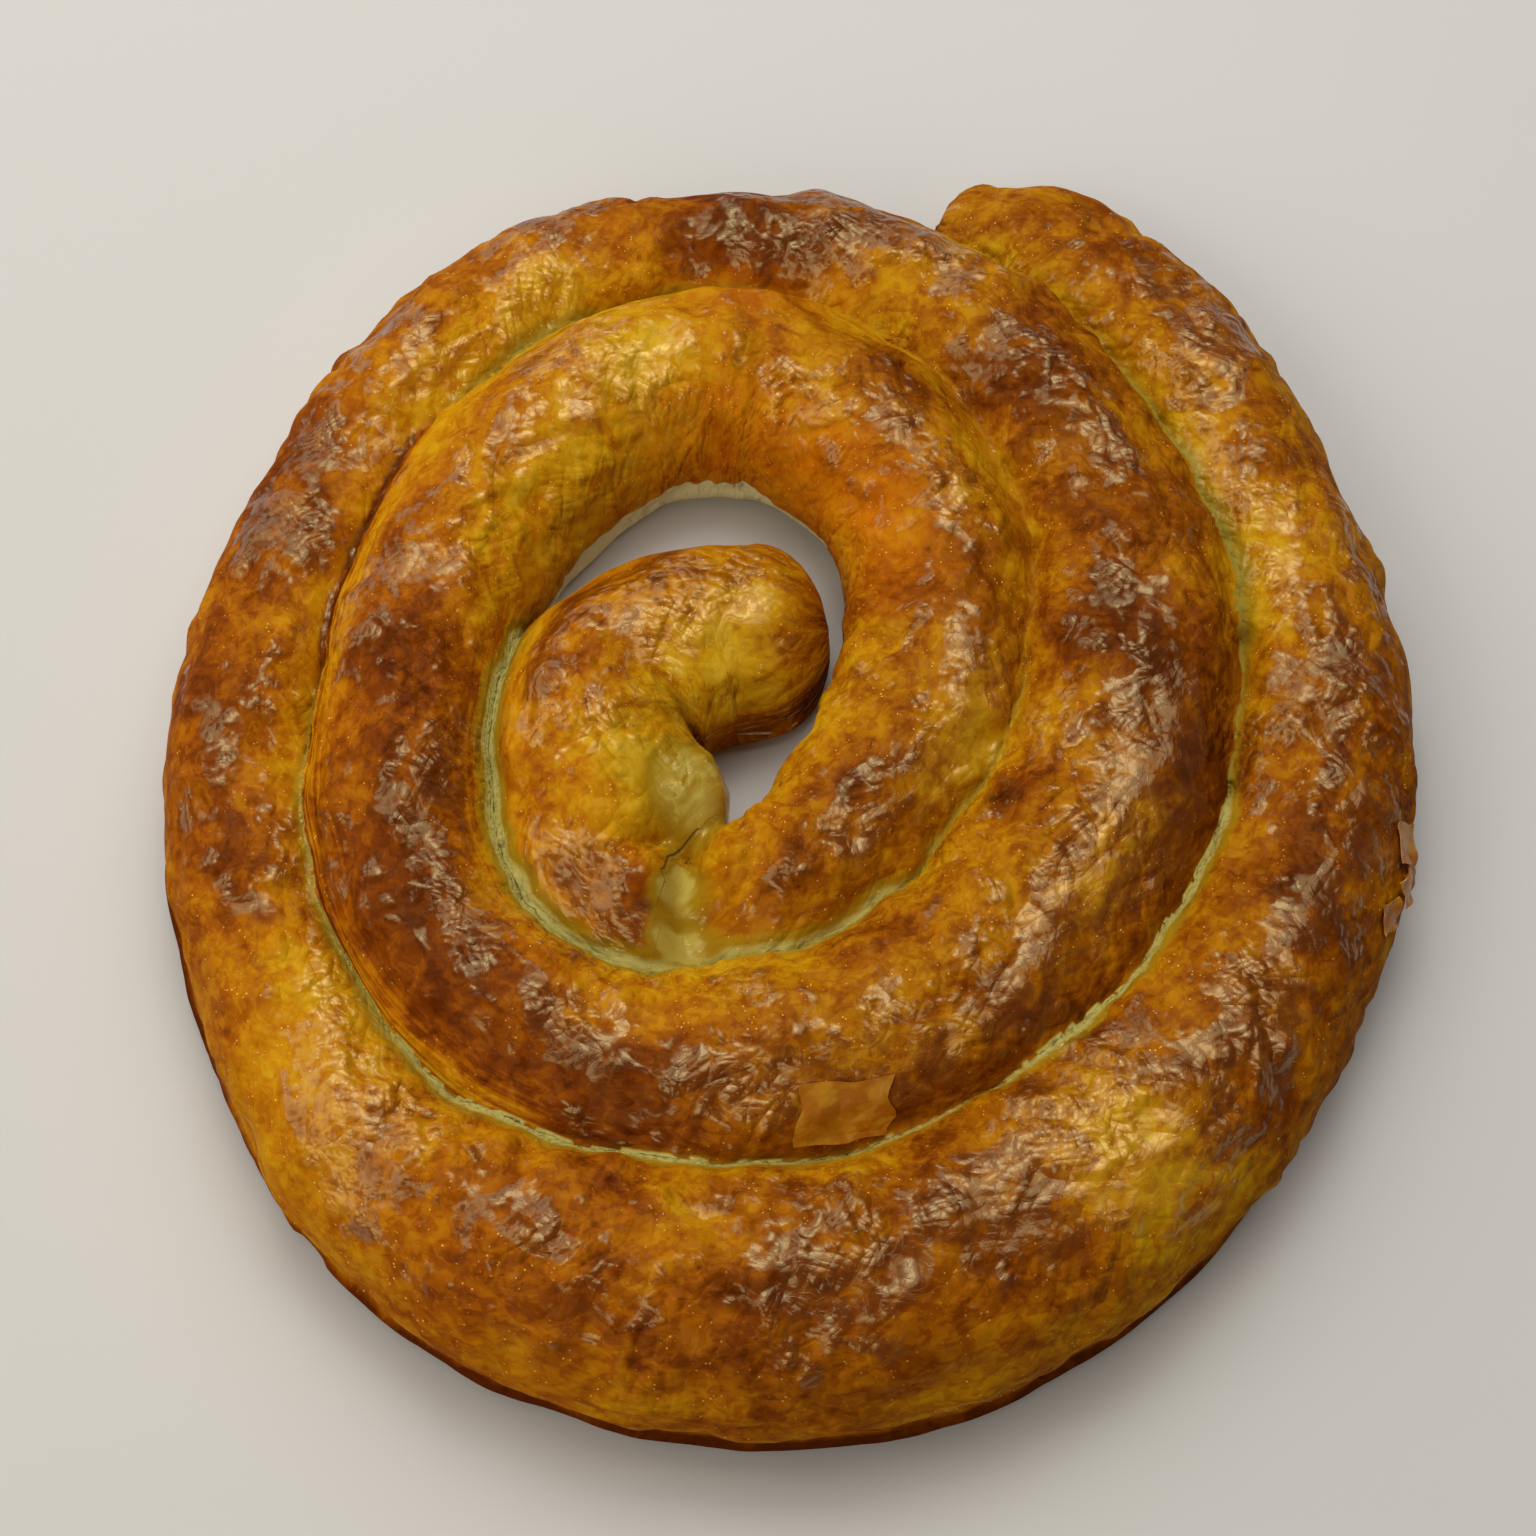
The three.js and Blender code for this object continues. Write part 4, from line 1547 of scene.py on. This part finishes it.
    def bump(self) -> bpy.types.NodeSocket:
        """Raise the skin's fine relief.

        Returns:
            The normals of the relief.
        """
        height = self.fold_height * self.folds + self.wrinkle_height * self.wrinkles
        height = height * self.crumpled * (1 - self.soft_loss * self.soft)
        height = height + self.string_height * self.strings * self.stringy
        height = height + self.layer_height * self.layers * self.layered + self.scrap_height * self.scraps
        height = height + self.grain_height * self.pattern(self.place, Pattern.GRAIN)
        height = height + self.crumbly_height * self.crumbly * self.core * self.cracks
        height = height - self.slit_depth * self.slit
        relief = {"Strength": 1.0, "Distance": MM, "Height": height}
        return self.node("ShaderNodeBump", {}, relief).outputs[0]

    def oiled(self) -> Value:
        """Work out how much of the surface is glossy with oil.

        Returns:
            The share of gloss, from 0 to 1.
        """
        exposed = self.attribute("share").step(*self.oil_edge).share(*self.oil_share)
        exposed = exposed * (1 - self.oil_core_loss * self.core)
        smooth = self.wrinkles.step(*self.oil_wrinkle).share(*self.oil_wrinkle_share)
        oily = self.flaked * smooth * self.blotch.share(*self.oil_blotch_share)
        return exposed * (self.oil_least + oily)


@dataclass(frozen=True)
class CrustFinish:
    """Glossy baked dough, from raw and pale in the seams to dark brown on the ridges."""

    raw: Colour = srgb(190, 180, 102)
    sallow: Colour = srgb(158, 138, 50)
    cream: Colour = srgb(232, 228, 178)
    burnt: Colour = srgb(62, 26, 8)
    dough: Colour = srgb(192, 172, 78)
    raw_shade: Colour = srgb(146, 136, 74)
    olive: Colour = srgb(164, 128, 22)
    # Colour of the painted glow where light shines through the dough.
    amber: Colour = srgb(196, 98, 3)
    stops: tuple[tuple[float, Colour], ...] = (
        (0.00, srgb(212, 168, 40)),
        (0.22, srgb(203, 149, 15)),
        (0.42, srgb(187, 120, 8)),
        (0.60, srgb(162, 89, 6)),
        (0.78, srgb(128, 61, 5)),
        (1.00, srgb(92, 38, 4)),
    )
    tawny_stops: tuple[tuple[float, Colour], ...] = (
        (0.00, srgb(204, 170, 42)),
        (0.22, srgb(190, 148, 16)),
        (0.42, srgb(170, 117, 8)),
        (0.60, srgb(144, 85, 6)),
        (0.78, srgb(116, 58, 3)),
        (1.00, srgb(82, 36, 3)),
    )
    # Colour of the dark cracks in the seams, and of the painted shade in the nick.
    crack_and_nick_shade: Colour = srgb(108, 96, 52)
    # Colour of the painted glints, which stand in for sparkles of light.
    painted_glint: Colour = srgb(248, 204, 96)
    oil: Colour = srgb(238, 222, 168)
    varnished: Colour = srgb(94, 40, 4)
    halo_fade: Pair = (0.0, 0.8)
    soft_fade: Pair = (0.05, 0.45)
    dough_fade: Pair = (0.45, 0.85)
    raw_fade: Pair = (0.0, 0.6)
    raw_grain: Pair = (0.3, 0.55)
    hem_fade: Pair = (0.3, 0.7)
    edge_cover: float = 0.7
    edge_strings: Pair = (0.6, 0.72)
    edge_blotches: Pair = (0.4, 0.55)
    scorch_grain: Pair = (0.35, 0.55)
    scorch_share: Pair = (0.3, 0.7)
    nick_shade_cover: float = 0.7
    line_wander: float = 1.6
    line_level: float = 0.36
    line_edge: Pair = (0.05, 0.4)
    painted_glint_cover: float = 0.85
    varnish_cover: float = 0.42
    varnish_brown: Pair = (0.38, 0.68)
    varnish_soft: Pair = (0.0, 0.2)
    dull_roughness: float = 0.6
    dull_level: float = 0.01
    gloss_roughness: float = 0.19
    gloss_level: float = 0.66
    gloss_index: float = 1.75

    def browned(self, graph: CrustGraph) -> bpy.types.NodeSocket:
        """Give the crust its baked colour, ruddy or tawny, and an amber painted glow where light shines
        through the dough.

        Args:
            graph: The crust's node graph.

        Returns:
            The colour.
        """
        level = {0: graph.level}
        ruddy = graph.node("ShaderNodeValToRGB", {"stops": self.stops}, level).outputs[0]
        tawny = graph.node("ShaderNodeValToRGB", {"stops": self.tawny_stops}, level).outputs[0]
        colour = graph.mix(graph.attribute("tawny"), ruddy, tawny)
        # Painted glow: amber where light shines through the dough.
        return graph.mix(graph.attribute("amber"), colour, self.amber)

    def seamed(self, graph: CrustGraph, colour: bpy.types.NodeSocket) -> bpy.types.NodeSocket:
        """Lay pale and raw dough into the seams, the soft places and the hem.

        Args:
            graph: The crust's node graph.
            colour: The baked colour.

        Returns:
            The colour with the pale dough.
        """
        # The soft dough is streaked pale in slants that are partly painted sheen.
        softness = graph.softness()
        colour = graph.mix(graph.halo.step(*self.halo_fade), colour, self.olive)
        colour = graph.mix(softness.step(*self.soft_fade), colour, self.olive)
        raw = graph.mix(graph.cracks.step(*self.raw_fade), self.sallow, self.raw)
        lit = 1 - graph.cracks * (1 - graph.crumbly.step(*self.raw_grain))
        raw = graph.mix(lit, self.raw_shade, raw)
        colour = graph.mix(graph.core, colour, raw)
        colour = graph.mix(softness.step(*self.dough_fade), colour, self.dough)
        # Cream hem along the foot: pale dough, made lighter still as painted light bounced up from below.
        return graph.mix(graph.attribute("hem").step(*self.hem_fade), colour, self.cream)

    def marked(self, graph: CrustGraph, colour: bpy.types.NodeSocket) -> bpy.types.NodeSocket:
        """Add the pale edges of layers, scorched specks, the nick in painted shade, cracked seams and
        painted glints.

        Args:
            graph: The crust's node graph.
            colour: The colour below the marks.

        Returns:
            The colour with the marks.
        """
        edges = self.edge_cover * graph.layered * graph.strings.step(*self.edge_strings)
        edges = edges * graph.blotch.step(*self.edge_blotches)
        colour = graph.mix(edges, colour, self.cream)
        grain = graph.crumbly.step(*self.scorch_grain).share(*self.scorch_share)
        colour = graph.mix(graph.attribute("scorch") * grain, colour, self.burnt)
        # The nick under the blister: a dark line of painted shade in its crease.
        colour = graph.mix(self.nick_shade_cover * graph.slit, colour, self.crack_and_nick_shade)
        dashes = graph.pattern(graph.place, Pattern.DASHES)
        line = graph.seam + self.line_wander * (dashes - self.line_level)
        line = (1 - line.step(*self.line_edge)) * graph.cracks
        colour = graph.mix(line, colour, self.crack_and_nick_shade)
        # Painted glints: bright golden dots that stand in for sparkles of light.
        return graph.mix(self.painted_glint_cover * graph.painted_glints(), colour, self.painted_glint)

    def make(self) -> bpy.types.Material:
        """Build the material.

        Returns:
            The finished material.
        """
        graph = CrustGraph("crust")
        colour = self.marked(graph, self.seamed(graph, self.browned(graph)))
        varnish = self.varnish_cover * graph.flaked * graph.level.step(*self.varnish_brown)
        varnish = varnish * (1 - graph.soft.step(*self.varnish_soft))
        bump = graph.bump()
        dull = graph.shader({
            "Base Color": colour, "Roughness": self.dull_roughness, "Normal": bump,
            "Specular IOR Level": self.dull_level})
        glossy = graph.shader({
            "Base Color": graph.mix(varnish, colour, self.varnished), "Roughness": self.gloss_roughness,
            "Normal": bump, "Specular IOR Level": self.gloss_level, "IOR": self.gloss_index,
            "Specular Tint": self.oil})
        shader = graph.node("ShaderNodeMixShader", {}, {0: graph.oiled(), 1: dull, 2: glossy})
        return graph.surfaced(shader.outputs[0])


@dataclass(frozen=True)
class FlakeFinish:
    """Thin amber skin that lets a little of the crust below show through."""

    amber: Colour = srgb(176, 104, 8)
    golden: Colour = srgb(200, 138, 30)
    cover: float = 0.8
    blotch_size: float = 4 * MM
    blotch_detail: float = 3.0
    blotch_fade: Pair = (0.4, 0.65)
    roughness: float = 0.25
    level: float = 0.6

    def make(self) -> bpy.types.Material:
        """Build the material.

        Returns:
            The finished material.
        """
        graph = FinishGraph("flake")
        place = graph.node("ShaderNodeTexCoord", {}, {}).outputs["Object"]
        size = (self.blotch_size, self.blotch_size, self.blotch_size)
        blotch = graph.clouds(place, size, self.blotch_detail)
        colour = graph.mix(blotch.step(*self.blotch_fade), self.amber, self.golden)
        return graph.surfaced(graph.shader({
            "Base Color": colour, "Roughness": self.roughness, "Alpha": self.cover,
            "Specular IOR Level": self.level}))


@dataclass(frozen=True)
class Softbox:
    """A rectangular soft light that faces the coil, in metres and watts."""

    name: str
    at: Point
    size: Pair
    power: float
    colour: Point

    def hang(self) -> None:
        """Put the light into the scene."""
        lamp = bpy.data.lights.new(self.name, "AREA")
        lamp.shape = "RECTANGLE"
        lamp.size, lamp.size_y = self.size
        lamp.energy = self.power
        lamp.color = self.colour
        light = bpy.data.objects.new(self.name, lamp)
        light.location = self.at
        light.rotation_euler = (-Vector(self.at)).to_track_quat("-Z", "Y").to_euler()
        bpy.context.scene.collection.objects.link(light)


@dataclass(frozen=True)
class Studio:
    """Pale floor, soft lights and the camera at the photograph's angle, in metres."""

    floor_size: float = 6.0
    floor_colour: Colour = srgb(208, 209, 210)
    floor_roughness: float = 0.6
    elevation: float = 63.0
    distance: float = 0.5905
    lens: float = 72.2
    sensor: float = 36.0
    shift: Pair = (-0.0117, 0.0143)
    surround: Colour = (0.85, 0.9, 1.0, 1.0)
    surround_strength: float = 0.08
    softboxes: tuple[Softbox, ...] = (
        Softbox("overhead", (0.05, 0.5, 1.0), (1.4, 1.15), 8.2, (1.0, 0.95, 0.86)),
        Softbox("window", (0.0, 0.46, 0.95), (0.5, 0.36), 2.0, (1.0, 0.95, 0.86)),
        Softbox("left_fill", (-1.0, 0.1, 0.75), (0.9, 0.9), 4.0, (1.0, 0.92, 0.8)),
        Softbox("back_fill", (-0.7, 1.2, 0.45), (1.3, 0.6), 3.0, (1.0, 0.95, 0.88)),
        Softbox("front_fill", (-0.6, -0.9, 0.8), (1.0, 0.8), 6.0, (1.0, 0.88, 0.7)),
    )

    def floor(self) -> bpy.types.Object:
        """Lay the floor.

        Returns:
            The floor, marked as stage.
        """
        bm = bmesh.new()
        bmesh.ops.create_grid(bm, x_segments=1, y_segments=1, size=self.floor_size / 2)
        floor = new_object("floor", bm)
        graph = FinishGraph("pale_floor")
        shader = graph.shader({"Base Color": self.floor_colour, "Roughness": self.floor_roughness})
        floor.data.materials.append(graph.surfaced(shader))
        return floor

    def lights(self) -> None:
        """Hang the soft lights and set a dim surround."""
        for softbox in self.softboxes:
            softbox.hang()
        world = bpy.data.worlds.new("surround")
        world.use_nodes = True
        surround = world.node_tree.nodes["Background"]
        surround.inputs["Color"].default_value = self.surround
        surround.inputs["Strength"].default_value = self.surround_strength
        bpy.context.scene.world = world
        bpy.context.scene.view_settings.view_transform = "Standard"

    def camera(self) -> None:
        """Set up the camera."""
        angle = math.radians(self.elevation)
        target = Vector((-BOX_MIDDLE[0], -BOX_MIDDLE[1], 0)) * MM
        lens = bpy.data.cameras.new("camera")
        lens.lens = self.lens
        lens.sensor_width = self.sensor
        lens.shift_x, lens.shift_y = self.shift
        camera = bpy.data.objects.new("camera", lens)
        camera.location = target + self.distance * Vector((0, -math.cos(angle), math.sin(angle)))
        camera.rotation_euler = (math.radians(90) - angle, 0, 0)
        bpy.context.scene.collection.objects.link(camera)
        bpy.context.scene.camera = camera


def main() -> None:
    """Build the coil and its surroundings and report each piece."""
    logging.basicConfig(level=logging.INFO, format="%(name)s: %(message)s")
    studio = Studio()
    studio.camera()
    studio.lights()
    studio.floor()
    roll = Coil()
    coil = roll.build()
    coil.data.materials.clear()
    coil.data.materials.append(CrustFinish().make())
    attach(coil, BODY)
    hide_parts(NODE)
    flakes = Flakes().build(roll.skin)
    flakes.data.materials.append(FlakeFinish().make())
    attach(flakes, BODY)
    for piece in (coil, flakes):
        triangles = sum(len(face.vertices) - 2 for face in piece.data.polygons)
        LOG.info("%s: %d triangles", piece.name, triangles)


if __name__ == "__main__":
    main()
